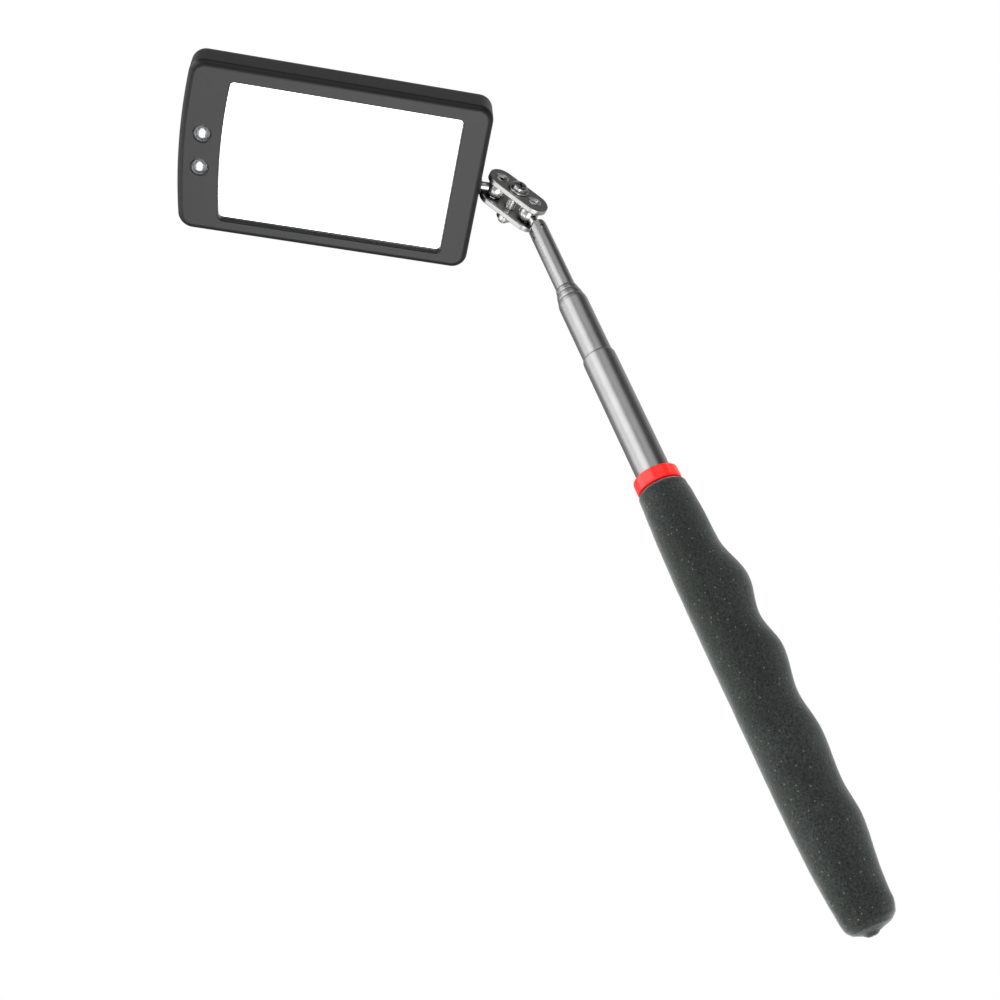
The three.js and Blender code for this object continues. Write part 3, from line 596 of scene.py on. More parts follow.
CELL_STEEL = plain_detail("cell_steel", (0.74, 0.74, 0.73), 0.26, 1.0, 250.0)
SOFT_TAPE = plain_detail("foam_tape", (0.10, 0.10, 0.10), 0.9, 0.0, 900.0, 0.0001)
PAD_PAINTED_GLOW = painted_glow_pad()
CUP_GREY = plain_detail("lamp_cup", (0.22, 0.22, 0.225), 0.24, 1.0, 900.0)


# ---- shaft


def tube_ends(name):
    low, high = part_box(name)
    return low.x / MM, high.x / MM


RADII = [4.75, 4.275, 3.8, 3.325, 2.85]
LAST = len(RADII) - 1
# For each rolled mouth: how far it stops short of its tube's CAD end, and how deep its roll and lip turn in.
MOUTHS = [(0.0, 0.07, 0.2), (0.15, 0.17, 0.31), (0.45, 0.17, 0.31), (0.7, 0.17, 0.31)]
# Where the fork's slot starts, from the rear of the tool.
SLOT_REAR = 209.9


def tube_profile(index):
    """The closed outline of a tube's wall: rolled-in mouth at the front, neck at the rear."""
    rear, front = tube_ends(TUBE_NAMES[index])
    radius = RADII[index]
    bore = radius - TUBE_WALL
    if index < LAST:
        mouth = RADII[index + 1] + RUNNING_GAP
        setback, roll, lip = MOUTHS[index]
        front -= setback
        profile = [
            (front - 2.4, radius),
            (front - 1.5, radius, 0.8),
            (front - 0.45, radius - roll, 0.4),
            (front - 0.06, radius - lip, 0.12),
            (front, mouth + 0.05, 0.03),
            (front, mouth, 0.03),
            (front - 0.7, mouth),
            (front - 1.2, bore),
        ]
    else:
        profile = [(front, radius), (front, bore), (SLOT_REAR - 0.5, bore)]
    if index == 0:
        profile += [(rear, bore, 0.05), (rear, radius, 0.1)]
    else:
        neck = radius - NECK_DEPTH
        profile += [
            (rear + NECK_LENGTH + 0.5, bore),
            (rear + NECK_LENGTH, neck - TUBE_WALL),
            (rear, neck - TUBE_WALL),
            (rear, neck + 0.2),
            (rear + 0.5, neck + 0.2),
            (rear + 0.5, neck),
            (rear + NECK_LENGTH, neck),
            (rear + NECK_LENGTH + 0.3, radius),
            (rear + NECK_LENGTH + 1.2, radius),
        ]
    if index == LAST:
        profile += [(SLOT_REAR - 1.0, radius), (SLOT_REAR - 0.3, radius)]
    return profile


def tube_mesh(index):
    return turned(TUBE_NAMES[index] + "_look", tube_profile(index), SHAFT, TUBE_SEGMENTS, closed=True)


for tube_index in range(LAST):
    dress(tube_mesh(tube_index), TUBE_NAMES[tube_index], TUBE_STEEL, weighted=False)


# The smallest tube and its plug, slotted and rounded together round the pin.
EAR_RADIUS = RADII[LAST]
SLOT_HALF = 0.95
PIN_HOLE = 0.8
PLUG_RADIUS = 2.49
PLUG_REAR = 200
# Half the width of the cutters, which are wider than the tube.
WIDE = 6
PIN_X = PIN.x / MM
FORK_AXIS_FRAME = FORK @ Matrix.Translation((-PIN_X, 0, 0))


def fork_cutters(tag):
    """The slot, everything outside the round ears, and the pin hole."""
    across = (SLOT_REAR, PIN_X + WIDE)
    slot = block("slot_" + tag, across, (-WIDE, WIDE), (-SLOT_HALF, SLOT_HALF), 0.05, 2, FORK_AXIS_FRAME)
    clear_side = EAR_RADIUS + 3
    clear_front = PIN_X + 8
    outside = (
        [(PIN_X, clear_side)]
        + arc(PIN_X, 0, EAR_RADIUS, QUARTER, -QUARTER, 24)
        + [(PIN_X, -clear_side), (clear_front, -clear_side), (clear_front, clear_side)]
    )
    levels = [[(x, y, z) for x, y in outside] for z in (-WIDE, WIDE)]
    ears = lofted("ears_" + tag, levels, FORK_AXIS_FRAME)
    hole = [(-WIDE, 0), (-WIDE, PIN_HOLE), (WIDE, PIN_HOLE), (WIDE, 0)]
    return [slot, ears, turned("hole_" + tag, hole, FORK, 32, "Z")]


small_tube = boolean(tube_mesh(LAST), fork_cutters("tube"))
dress(small_tube, "tube_5", TUBE_STEEL, weighted=False)

plug_front = tube_ends("tube_5")[1]
PLUG_PROFILE = [
    (PLUG_REAR, 0),
    (PLUG_REAR, PLUG_RADIUS, 0.2),
    (PLUG_REAR + 1, PLUG_RADIUS),
    (plug_front, PLUG_RADIUS),
    (plug_front, 0),
]
fork_plug = boolean(turned("fork_plug_look", PLUG_PROFILE, SHAFT), fork_cutters("plug"))
dress(fork_plug, "fork_plug", TUBE_STEEL, weighted=False)

# Half of the pin, from its domed end to the start of its straight part.
PIN_END = [(2.98, 0), (2.9, 0.42, 0.3), (2.7, 0.68, 0.2), (2.4, 0.75, 0.1)]
pin_profile = [(-along, *rest) for along, *rest in PIN_END] + PIN_END[::-1]
pin = turned("fork_pin_look", pin_profile, FORK, 32, "Z")
dress(pin, "fork_pin", BRIGHT_STEEL, degrees=60, weighted=False)


# ---- collar and grip

COLLAR_RADIUS = 6.3
COLLAR_BORE = 4.9
# How far the collar and the foam stop short of their CAD fronts.
COLLAR_SETBACK = 0.85
GRIP_SETBACK = 0.45
collar_low, collar_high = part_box("red_collar")
collar_rear = collar_low.x / MM
collar_front = collar_high.x / MM - COLLAR_SETBACK
COLLAR_PROFILE = [
    (collar_rear, COLLAR_BORE),
    (collar_rear, COLLAR_RADIUS - 0.1, 0.3),
    (collar_rear + 0.4, COLLAR_RADIUS, 0.3),
    (collar_front - 0.3, COLLAR_RADIUS - 0.05, 1.0),
    (collar_front, COLLAR_RADIUS - 0.8, 0.5),
    (collar_front, COLLAR_BORE, 0.1),
]
collar = turned("red_collar_look", COLLAR_PROFILE, SHAFT, TUBE_SEGMENTS, closed=True)
dress(collar, "red_collar", RED)

# The foam's radius at its back and at its finger side, as (distance from the rear, radius).
GRIP_BACK = [
    (6, 6.15), (10, 6.5), (18.5, 7.1), (30, 7.5), (60, 7.6), (90, 7.6), (110, 7.2), (118, 6.85),
    (121.5, 6.7),
]
GRIP_FINGERS = [
    (6, 8.0), (12.4, 8.3), (16.4, 8.8), (26.4, 9.95), (34.5, 9.3), (47.9, 10.2), (58.4, 9.05),
    (70.4, 10.72), (80.4, 8.95), (90.9, 10.65), (103.4, 7.85), (112, 7.65), (119, 7.25), (121.5, 6.95),
]
# The butt behind the first station, with its small nub.
GRIP_BUTT = [
    (0.05, 0), (0.1, 1.1, 0.8), (0.8, 2.05, 0.8), (1.3, 3.2, 1.5), (1.75, 4.4, 1.4), (3.0, 5.5, 1.8),
    (4.6, 5.95, 1.0), (6, 6.15),
]
# The bore for the tube, as (radius, distance behind the front).
GRIP_MOUTH = [(5.3, 0.0), (5.0, 0.3)]
GRIP_BORE = 4.98
GRIP_BORE_END = 8.0
GRIP_STATIONS = 300
GRIP_SEGMENTS = 128
FRONT_ROUND = 1.1
grip_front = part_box("foam_grip")[1].x / MM - GRIP_SETBACK


def hermite(points, x):
    """A smooth curve through points, monotone between its own highs and lows."""
    if x <= points[0][0]:
        return points[0][1]
    if x >= points[-1][0]:
        return points[-1][1]
    slopes = []
    for i, (px, py) in enumerate(points):
        if i in (0, len(points) - 1):
            slopes.append(0.0)
            continue
        before = (py - points[i - 1][1]) / (px - points[i - 1][0])
        after = (points[i + 1][1] - py) / (points[i + 1][0] - px)
        slopes.append(0.0 if before * after <= 0 else 2 * before * after / (before + after))
    i = next(k for k in range(len(points) - 1) if x <= points[k + 1][0])
    (x0, y0), (x1, y1) = points[i], points[i + 1]
    h = x1 - x0
    t = (x - x0) / h
    return (
        y0 * (1 + 2 * t) * (1 - t) ** 2
        + slopes[i] * h * t * (1 - t) ** 2
        + y1 * t * t * (3 - 2 * t)
        + slopes[i + 1] * h * t * t * (t - 1)
    )


def grip_mesh():
    """The foam grip, open at the front round the tube and closed over the butt."""
    first, first_radius = GRIP_BACK[0]
    butt = rounded(GRIP_BUTT, steps=6)
    stations = [(p.x, p.y, p.y / first_radius) for p in butt[:-1]]
    for i in range(GRIP_STATIONS + 1):
        x = first + (grip_front - first) * i / GRIP_STATIONS
        stations.append((x, hermite(GRIP_BACK, x), 1.0))
    bm = bmesh.new()
    rings = []
    for x, back, share in stations:
        near_front = max(0.0, x - (grip_front - FRONT_ROUND)) / FRONT_ROUND
        back -= 0.55 * (1 - math.sqrt(max(0.0, 1 - near_front**2)))
        ring = []
        stretch = hermite(GRIP_FINGERS, max(x, first)) / hermite(GRIP_BACK, max(x, first)) - 1
        for k in range(1 if back < 1e-6 else GRIP_SEGMENTS):
            angle = 2 * math.pi * k / GRIP_SEGMENTS
            y, z = math.cos(angle), math.sin(angle)
            facing = max(0.0, -y) ** 1.4
            radius = back * (1 + stretch * facing * share)
            point = Vector((x, radius * y, radius * z))
            if x > 3.5:
                lumps = noise.noise(point * 0.22) * 0.07
                skin = noise.noise(point * 1.7) * 0.035
                point += Vector((0, y, z)) * (lumps + skin - 0.06)
            ring.append(bm.verts.new(point))
        rings.append(ring)
    bore = [(radius, grip_front - behind) for radius, behind in GRIP_MOUTH] + [(GRIP_BORE, GRIP_BORE_END)]
    for radius, x in bore:
        circle = arc(0, 0, radius, 0, 2 * math.pi, GRIP_SEGMENTS)[:-1]
        rings.append([bm.verts.new((x, y, z)) for y, z in circle])
    rings.append([bm.verts.new((GRIP_BORE_END - 5, 0, 0))])
    bridge(bm, rings)
    return new_object("foam_grip_look", bm, SHAFT)


dress(grip_mesh(), "foam_grip", FOAM, degrees=50, weighted=False)


# ---- stud, balls and clamp


TANG_REACH = 1.6
TANG_HALF = 0.85


def stud_mesh():
    """The tang on the fork pin, drawn down to a round neck."""
    tang = stacked(
        "fork_stud_look",
        lambda inset: stadium_outline(0, TANG_REACH, 2.1 - inset),
        [(-TANG_HALF, 0.2), (-TANG_HALF, 0.0, 0.2), (TANG_HALF, 0.0, 0.2), (TANG_HALF, 0.2)],
        STUD,
    )
    neck = [
        (TANG_REACH, 0),
        (TANG_REACH, 0.8),
        (2.9, 0.86, 0.1),
        (3.6, NECK_RADIUS, 0.4),
        (STUD_LENGTH + 1, NECK_RADIUS, 0.2),
        (STUD_LENGTH + 1, 0),
    ]
    boolean(tang, [turned("neck", neck, STUD, 48)], "UNION")
    hole = [(-3, 0), (-3, PIN_HOLE), (3, PIN_HOLE), (3, 0)]
    return boolean(tang, [turned("hole", hole, STUD, 32, "Z")])


dress(stud_mesh(), "fork_stud", BRIGHT_STEEL)


def ball_mesh(name, matrix):
    """A ball with the bore its neck goes into. The bore opens towards +X of the matrix."""
    bore = NECK_RADIUS + 0.06
    profile = [(-1.2, 0), (-1.2, bore)]
    edge = math.acos(bore / BALL_RADIUS)
    profile.append((BALL_RADIUS * math.sin(edge) - 0.12, bore, 0.1))
    steps = 26
    for i in range(steps + 1):
        angle = edge - (edge + QUARTER) * i / steps
        profile.append((BALL_RADIUS * math.sin(angle), max(BALL_RADIUS * math.cos(angle), 0)))
    return turned(name, profile, matrix, 64)


toward_fork = Matrix.Translation(BALL_1 - PIN) @ STUD @ Matrix.Rotation(math.pi, 4, "Z")
dress(ball_mesh("ball_1_look", toward_fork), "ball_1", BRIGHT_STEEL)
dress(ball_mesh("ball_2_look", HEAD), "ball_2", BRIGHT_STEEL)


def plate_mesh(name, matrix):
    """A stamped clamp plate with two ball seats and a screw hole."""
    start = PLATE_RADIUS - PLATE_REACH_1
    end = SPACING + PLATE_REACH_2 - PLATE_RADIUS
    plate = stacked(
        name,
        lambda inset: stadium_outline(start, end, PLATE_RADIUS - inset),
        [(PLATE_GAP, 0.5), (PLATE_GAP, 0.0, 0.28), (PLATE_TOP, 0.0, 0.3), (PLATE_TOP, 0.5)],
        matrix,
    )
    seat = [
        (PLATE_GAP - 0.5, 0),
        (PLATE_GAP - 0.5, SEAT_MOUTH),
        (PLATE_GAP, SEAT_MOUTH, 0.08),
        (PLATE_GAP + 0.5, SEAT_BORE, 0.15),
        (PLATE_TOP + 0.5, SEAT_BORE),
        (PLATE_TOP + 0.5, 0),
    ]
    tools = [turned("seat", seat, matrix, 48, "Z", offset=(x, 0)) for x in (0, SPACING)]
    bore = [(PLATE_GAP - 1, 0), (PLATE_GAP - 1, 1.55), (PLATE_TOP + 1, 1.55), (PLATE_TOP + 1, 0)]
    tools.append(turned("bore", bore, matrix, 32, "Z", offset=(SCREW_X, 0)))
    return boolean(plate, tools)


def boss_mesh(name, matrix, x):
    """The pressed boss that stands proud round a ball seat, with the seat's hole through it."""
    crest = PLATE_TOP + BOSS_HEIGHT
    profile = [
        (PLATE_TOP - 0.8, 1.28),
        (PLATE_TOP - 0.6, 0.85, 0.05),
        (crest - 0.1, 1.38, 0.1),
        (crest, 1.5, 0.1),
        (crest - 0.02, 1.62, 0.1),
        (PLATE_TOP, 1.95, 0.15),
        (PLATE_TOP - 0.1, 1.95),
    ]
    return turned(name, profile, matrix, 64, "Z", closed=True, offset=(x, 0))


# The plates lie turned a little on the balls, about the screw.
PLATES = (
    CLAMP
    @ Matrix.Translation((SCREW_X, 0, 0))
    @ Matrix.Rotation(math.radians(PLATE_TURN), 4, "Z")
    @ Matrix.Translation((-SCREW_X, 0, 0))
)
UNDER = PLATES @ Matrix.Rotation(math.pi, 4, "X")
for plate_node, plate_frame in (("clamp_plate_upper", PLATES), ("clamp_plate_lower", UNDER)):
    dress(plate_mesh(plate_node + "_look", plate_frame), plate_node, PLATE_STEEL, degrees=28)
    for ring_number, ring_x in enumerate((0, SPACING)):
        ring_ob = boss_mesh(f"{plate_node}_boss_{ring_number + 1}", plate_frame, ring_x)
        # The boss uses the lighter steel, a painted highlight on the pressed plate.
        dress(ring_ob, plate_node, RIM_STEEL_PAINTED_HIGHLIGHT, hides=[], degrees=60)

SCREW_CLEARANCE = 0.06
WASHER_LOW = PLATE_TOP + SCREW_CLEARANCE
WASHER_HIGH = WASHER_LOW + 0.45
SCREW_UNDER = WASHER_HIGH + SCREW_CLEARANCE
SCREW_TOP = SCREW_UNDER + 1.15
SCREW_END = -PLATE_TOP - 3.8
NUT_HIGH = -PLATE_TOP - SCREW_CLEARANCE
THREAD_RADIUS = 1.45
THREAD_PITCH = 0.5
THREAD_DEPTH = 0.2


def on_screw(name, profile, closed=False):
    """A piece turned about the clamp screw."""
    return turned(name, profile, PLATES, 64, "Z", closed, (SCREW_X, 0))


WASHER_PROFILE = [
    (WASHER_LOW, 1.57), (WASHER_LOW, 3.05, 0.15), (WASHER_HIGH, 3.05, 0.18), (WASHER_HIGH, 1.57),
]
dress(on_screw("clamp_washer_look", WASHER_PROFILE, closed=True), "clamp_washer", BRIGHT_STEEL)


def cross_cutters(matrix, x, y, width, reach, z, lean):
    """Two crossed slots for a screwdriver, turned by lean and cut between two heights."""
    tools = []
    half = width / 2
    corner = min(half, 0.2) * 0.9
    for turn in (lean, lean + QUARTER):
        place = matrix @ Matrix.Translation((x, y, 0)) @ Matrix.Rotation(turn, 4, "Z")
        tools.append(block("slot", (-reach, reach), (-half, half), z, corner, 4, place))
    return tools


def screw_thread_mesh(low, high):
    """A screw thread: a cylinder whose radius rises and falls along a helix, with a bevelled tip."""
    segments = 48
    steps = int((high - low) / THREAD_PITCH * 10)
    rings = []
    for i in range(steps + 1):
        z = low + (high - low) * i / steps
        depth = THREAD_DEPTH * max(0.0, min(1.0, (z - low) / 0.4, (high - z) / 0.2))
        tip = 0.25 * max(0.0, 1 - (z - low) / 0.3)
        ring = []
        for k in range(segments):
            angle = 2 * math.pi * k / segments
            phase = (z / THREAD_PITCH - k / segments) % 1.0
            radius = THREAD_RADIUS - depth * abs(2 * phase - 1) - tip
            ring.append((SCREW_X + radius * math.cos(angle), radius * math.sin(angle), z))
        rings.append(ring)
    return lofted("clamp_screw_thread", rings, PLATES)


SCREW_HEAD_PROFILE = [
    (SCREW_UNDER - 0.4, 0),
    (SCREW_UNDER - 0.4, THREAD_RADIUS),
    (SCREW_UNDER, THREAD_RADIUS),
    (SCREW_UNDER, 2.2, 0.12),
    (SCREW_TOP - 0.2, 2.2, 0.25),
    (SCREW_TOP - 0.02, 1.7, 0.3),
    (SCREW_TOP, 0.9, 0.3),
    (SCREW_TOP, 0),
]
screw_head = on_screw("clamp_screw_look", SCREW_HEAD_PROFILE)
boolean(screw_head, cross_cutters(PLATES, SCREW_X, 0, 0.62, 1.35, (SCREW_TOP - 0.7, SCREW_TOP + 1), 0.5))
dress(screw_head, "clamp_screw", BRIGHT_STEEL)
screw_thread = screw_thread_mesh(SCREW_END, SCREW_UNDER - 0.35)
dress(screw_thread, "clamp_screw", BRIGHT_STEEL, hides=[], degrees=70, weighted=False)

NUT_PROFILE = [
    (NUT_HIGH - 2.7, 1.53, 0.1),
    (NUT_HIGH - 2.7, 2.1, 0.3),
    (NUT_HIGH - 2.3, 2.45, 0.3),
    (NUT_HIGH, 2.45, 0.1),
    (NUT_HIGH, 1.53),
]
dress(on_screw("clamp_nut_look", NUT_PROFILE, closed=True), "clamp_nut", BRIGHT_STEEL)


# ---- head shells


def fillet_levels(start, end, radius, steps=8):
    """(z, inset) pairs of the quarter-round where a side wall from start meets the face at end."""
    sign = 1 if end > start else -1
    pairs = []
    for i in range(steps + 1):
        angle = QUARTER * i / steps
        pairs.append((end - sign * radius * (1 - math.sin(angle)), radius * (1 - math.cos(angle))))
    return pairs


def bowed_solid(name, shape, levels, matrix=HEAD):
    """A solid from bowed outlines, from (z, inset) pairs."""
    rings = [[(x, y, z) for x, y in bowed_outline(shape, inset)] for z, inset in levels]
    return lofted(name, rings, matrix)


def bezel_mesh():
    """The front shell: rounded rim, recessed window with a soft lip, lamp holes and stem collar."""
    levels = [(SEAM, SEAM_BEVEL), (SEAM + 0.16, 0.0)] + fillet_levels(SEAM, FRONT, FRONT_FILLET)
    bezel = bowed_solid("front_bezel_look", SHELL, levels)
    hollow = [(SEAM - 1, SHELL_WALL), (FRONT - SHELL_WALL, SHELL_WALL)]
    boolean(bezel, [bowed_solid("cavity", SHELL, hollow)])
    stem_collar = turned("stem_collar", [(7.4, 0), (7.4, 2.6), (4.95, 2.6, 0.3), (4.95, 0)], HEAD, 48)
    stem_block = block("stem_block", (6.8, 12.5), (-3.6, 3.6), (-3.0, 3.6), 0.1, 1)
    boolean(bezel, [stem_collar, stem_block], "UNION")
    lip_low = FRONT - WINDOW_LIP
    window_levels = [(FRONT - SHELL_WALL - 1, 0.12), (lip_low, 0.0)]
    for i in range(1, 6):
        angle = QUARTER * i / 5
        rise = WINDOW_LIP * math.sin(angle)
        window_levels.append((lip_low + rise + 0.002, -WINDOW_LIP * (1 - math.cos(angle))))
    window_levels.append((FRONT + 1, -WINDOW_LIP))
    window_place = HEAD @ Matrix.Translation((0, WINDOW_SHIFT, 0))
    tools = [bowed_solid("window", WINDOW, window_levels, window_place)]
    lamp_hole = [
        (0, 0),
        (0, LED_RADIUS + 0.1),
        (FRONT - 0.25, LED_RADIUS + 0.1, 0.2),
        (FRONT + 0.05, LED_RADIUS + 0.3, 0.1),
        (FRONT + 1, LED_RADIUS + 0.3),
        (FRONT + 1, 0),
    ]
    for y in (LED_SHIFT + LED_Y, LED_SHIFT - LED_Y):
        tools.append(turned("lamp_hole", lamp_hole, HEAD, 64, "Z", offset=(LED_X, y)))
    tools.append(turned("stem_hole", [(4, 0), (4, 1.42), (13.5, 1.42), (13.5, 0)], HEAD, 32))
    tools.append(block("nut_pocket", (9.25, 11.15), (-2.55, 2.55), (-4, 2.4), 0.1, 1))
    return boolean(bezel, tools)


dress(bezel_mesh(), "front_bezel", BLACK_SHELL, degrees=30)

BAY_X = (24.5, 68.5)
BAY_HALF = 11.4
BAY_MIDDLE = sum(BAY_X) / 2
DOOR_TOP = -3.96
# The door's dovetail is wider inside the head than at its back face.
DOOR_HALF_INSIDE = 23.2
DOOR_HALF_OUTSIDE = 22.6
DOOR_END = -12.8
PAST_HEAD = 27
SWITCH_X = 18.0
KNOB_Y = -1.25
THROUGH_COVER = (BACK - 1, SEAM + 1)


def dovetail(name, end, clearance=0.0):
    """The door's dovetail, from its inner end to past the edge of the head, grown by a clearance."""
    inner = DOOR_HALF_INSIDE + clearance
    outer = DOOR_HALF_OUTSIDE + clearance
    top = DOOR_TOP + clearance / 2
    half = [(outer, BACK - 1), (inner, top)]
    if clearance:
        half.insert(1, (outer, BACK))
    outline = [(BAY_MIDDLE - half[0][0], half[0][1])]
    outline += [(BAY_MIDDLE + x, z) for x, z in half]
    outline += [(BAY_MIDDLE - x, z) for x, z in half[:0:-1]]
    return lofted(name, [[(x, y, z) for x, z in outline] for y in (end, PAST_HEAD)], HEAD)


def head_back_block(name):
    levels = [(SEAM - 0.06, SEAM_BEVEL), (SEAM - 0.22, 0.0)] + fillet_levels(SEAM, BACK, BACK_FILLET)
    return bowed_solid(name, SHELL, levels)


def cover_mesh():
    """The back shell: battery bay, door recess, the switch's slot and well, and screw seats."""
    cover = head_back_block("rear_cover_look")
    bay = block("bay", BAY_X, (-BAY_HALF, BAY_HALF), THROUGH_COVER, 2)
    recess = dovetail("recess", DOOR_END - 0.2, 0.2)
    slot = block("switch_slot", (SWITCH_X - 1.2, SWITCH_X + 1.2), (-2.5, 2.5), THROUGH_COVER, 0.4)

    def well_outline(inset):
        half = 3.6 + inset
        return box_outline(SWITCH_X - half, SWITCH_X + half, -5.2 - inset, 5.2 + inset, 1.2)

    well = stacked("switch_well", well_outline, [(BACK + 0.35, 0), (BACK - 0.3, 0.4)], HEAD)
    tools = [bay, recess, slot, well]
    seat = [
        (BACK - 1, 0),
        (BACK - 1, 2.15),
        (BACK - 0.02, 2.15, 0.1),
        (BACK + 0.15, 2.0, 0.1),
        (BACK + 0.95, 2.0),
        (BACK + 0.95, 1.1),
        (SEAM + 1, 1.1),
        (SEAM + 1, 0),
    ]
    for site in SCREW_SITES:
        tools.append(turned("screw_seat", seat, HEAD, 40, "Z", offset=site))
    return boolean(cover, tools)


dress(cover_mesh(), "rear_cover", BACK_SHELL, degrees=30)


def door_mesh():
    """The battery door, with four thumb grooves that get shorter towards its outer edge."""
    door = head_back_block("battery_door_look")
    boolean(door, [dovetail("keep", DOOR_END)], "INTERSECT")
    grooves = []
    for i, y in enumerate((15.4, 17.2, 19.0, 20.8)):
        half = 7.5 - i * 1.3
        across = (BAY_MIDDLE - half, BAY_MIDDLE + half)
        grooves.append(block("thumb_groove", across, (y - 0.42, y + 0.42), (BACK - 1, BACK + 0.32), 0.38))
    return boolean(door, grooves)


dress(door_mesh(), "battery_door", BACK_SHELL, degrees=30)

COVER_SCREW_LOW = BACK + 0.05
COVER_SCREW_SEAT = -4.12
COVER_SCREW_PROFILE = [
    (COVER_SCREW_LOW, 0),
    (COVER_SCREW_LOW, 1.3, 0.3),
    (COVER_SCREW_LOW + 0.25, 1.8, 0.2),
    (COVER_SCREW_SEAT, 1.8, 0.1),
    (COVER_SCREW_SEAT, 0.8),
    (-1.0, 0.8),
    (0, 0),
]
for screw_number, screw_site in enumerate(SCREW_SITES):
    node_name = f"cover_screw_{screw_number + 1}"
    cover_screw = turned(node_name + "_look", COVER_SCREW_PROFILE, HEAD, 40, "Z", offset=screw_site)
    cross_depth = (COVER_SCREW_LOW - 1, COVER_SCREW_LOW + 0.5)
    boolean(cover_screw, cross_cutters(HEAD, *screw_site, 0.42, 1.0, cross_depth, 0.3 + screw_number))
    dress(cover_screw, node_name, BRIGHT_STEEL)


def knob_mesh():
    """The switch knob on its stalk, with four grooves across it."""

    def knob_outline(inset):
        half_x = 2.2 - inset
        half_y = 1.8 - inset
        return box_outline(SWITCH_X - half_x, SWITCH_X + half_x, KNOB_Y - half_y, KNOB_Y + half_y, 0.5)

    knob = stacked("switch_knob_look", knob_outline, [(-5.1, 0.0), (-5.8, 0.05, 0.2), (-6.0, 0.3)], HEAD)
    stalk = block("stalk", (SWITCH_X - 1, SWITCH_X + 1), (KNOB_Y - 1, KNOB_Y + 1), (-5.3, -2.4), 0.2)
    boolean(knob, [stalk], "UNION")
    across = (SWITCH_X - 3, SWITCH_X + 3)
    grooves = []
    for y in (KNOB_Y - 1.1, KNOB_Y - 0.4, KNOB_Y + 0.4, KNOB_Y + 1.1):
        grooves.append(block("groove", across, (y - 0.2, y + 0.2), (-7, -5.7), 0.15))
    return boolean(knob, grooves)


dress(knob_mesh(), "switch_knob", INNER_PLASTIC, degrees=30)

STEM_PROFILE = [(-1, 0), (-1, 1.1, 0.2), (-0.7, NECK_RADIUS, 0.2), (12.4, NECK_RADIUS, 0.3), (12.4, 0)]
dress(turned("head_stem_look", STEM_PROFILE, HEAD, 48), "head_stem", BRIGHT_STEEL)


# ---- mirror and lamps

glass = stacked(
    "mirror_glass_look",
    lambda inset: box_outline(
        GLASS_X[0] + inset, GLASS_X[1] - inset, -GLASS_HALF + inset, GLASS_HALF - inset, 1.5
    ),
    [(1.5, 0.15), (1.7, 0.0), (3.1, 0.0), (3.3, 0.25)],
    HEAD,
)
dress(glass, "mirror_glass", MIRROR)


LENS_BACK = -2.5
LENS_RIM = 4.6
LENS_TOP = 5.45
FLANGE_RADIUS = 2.75
CUP_PROFILE = [
    (3.0, 0), (3.0, 1.1, 0.2), (4.35, 2.28, 0.05), (4.35, 2.1, 0.05), (4.1, 1.95, 0.1), (4.12, 1.8, 0.1),
    (3.75, 1.35, 0.2), (3.7, 0),
]


def lamp(node, y):
    """A 5 mm lamp: clear low-domed body, with a bright reflector cup and a pale phosphor pad inside."""
    profile = [
        (LENS_BACK, 0),
        (LENS_BACK, FLANGE_RADIUS, 0.1),
        (LENS_BACK + 0.9, FLANGE_RADIUS, 0.1),
        (LENS_BACK + 0.9, LED_RADIUS),
        (LENS_RIM, LED_RADIUS),
    ]
    for i in range(1, 15):
        angle = QUARTER * i / 14
        rise = (LENS_TOP - LENS_RIM) * math.sin(angle)
        profile.append((LENS_RIM + rise, max(LED_RADIUS * math.cos(angle), 0)))
    body = turned(node + "_look", profile, HEAD, 64, "Z", offset=(LED_X, y))
    dress(body, node, LENS, degrees=50, weighted=False)
    cup = turned(node + "_cup", CUP_PROFILE, HEAD, 48, "Z", offset=(LED_X, y))
    dress(cup, node, CUP_GREY, hides=[], degrees=50)

    def pad_outline(inset):
        """An uneven blob, a little longer across the head than along it."""
        ring = []
        for k in range(64):
            angle = 2 * math.pi * k / 64
            reach = 0.98 - 0.2 * math.cos(2 * angle) + 0.06 * math.cos(5 * angle + 1) - inset
            ring.append((LED_X + reach * math.cos(angle), y + reach * math.sin(angle)))
        return ring

    # The pad's glow is a painted highlight: the lamp itself is not lit.
    pad = stacked(node + "_pad", pad_outline, [(3.75, 0), (4.1, 0.0, 0.1), (4.25, 0.3)], HEAD)
    dress(pad, node, PAD_PAINTED_GLOW, hides=[], degrees=60)


lamp("led_upper", LED_SHIFT - LED_Y)
lamp("led_lower", LED_SHIFT + LED_Y)


# ---- CAD solids that stay as they are

KEPT = [
    (BRIGHT_STEEL, ["end_plug", "stem_nut"]),
    (BRONZE, ["clip_2", "clip_3", "clip_4", "clip_5", "contact_upper", "contact_side"]),
    (INNER_PLASTIC, ["battery_tray", "switch_body"]),
    (SOFT_TAPE, ["mirror_pad"]),
    (CELL_STEEL, ["coin_cell_1", "coin_cell_2"]),
    (BOARD, ["led_board"]),
    (RED_WIRE, ["wire_positive"]),
    (BLACK_WIRE, ["wire_negative", "wire_switch"]),
]
EDGE_WIDTH = 0.08
for surface, node_names in KEPT:
    for node_name in node_names:
        kept = frame["nodes"][node_name]
        for slot in kept.material_slots:
            slot.material = surface
        rim = kept.modifiers.new("soft_edges", "BEVEL")
        rim.width = EDGE_WIDTH * MM
        rim.segments = 2
        rim.limit_method = "ANGLE"
        rim.angle_limit = math.radians(40)


# ---- stage, light and camera

# The floor is low enough for the head to hang free at every pose. Both are in metres.
FLOOR_DROP = 0.125
FLOOR_SIZE = 30.0
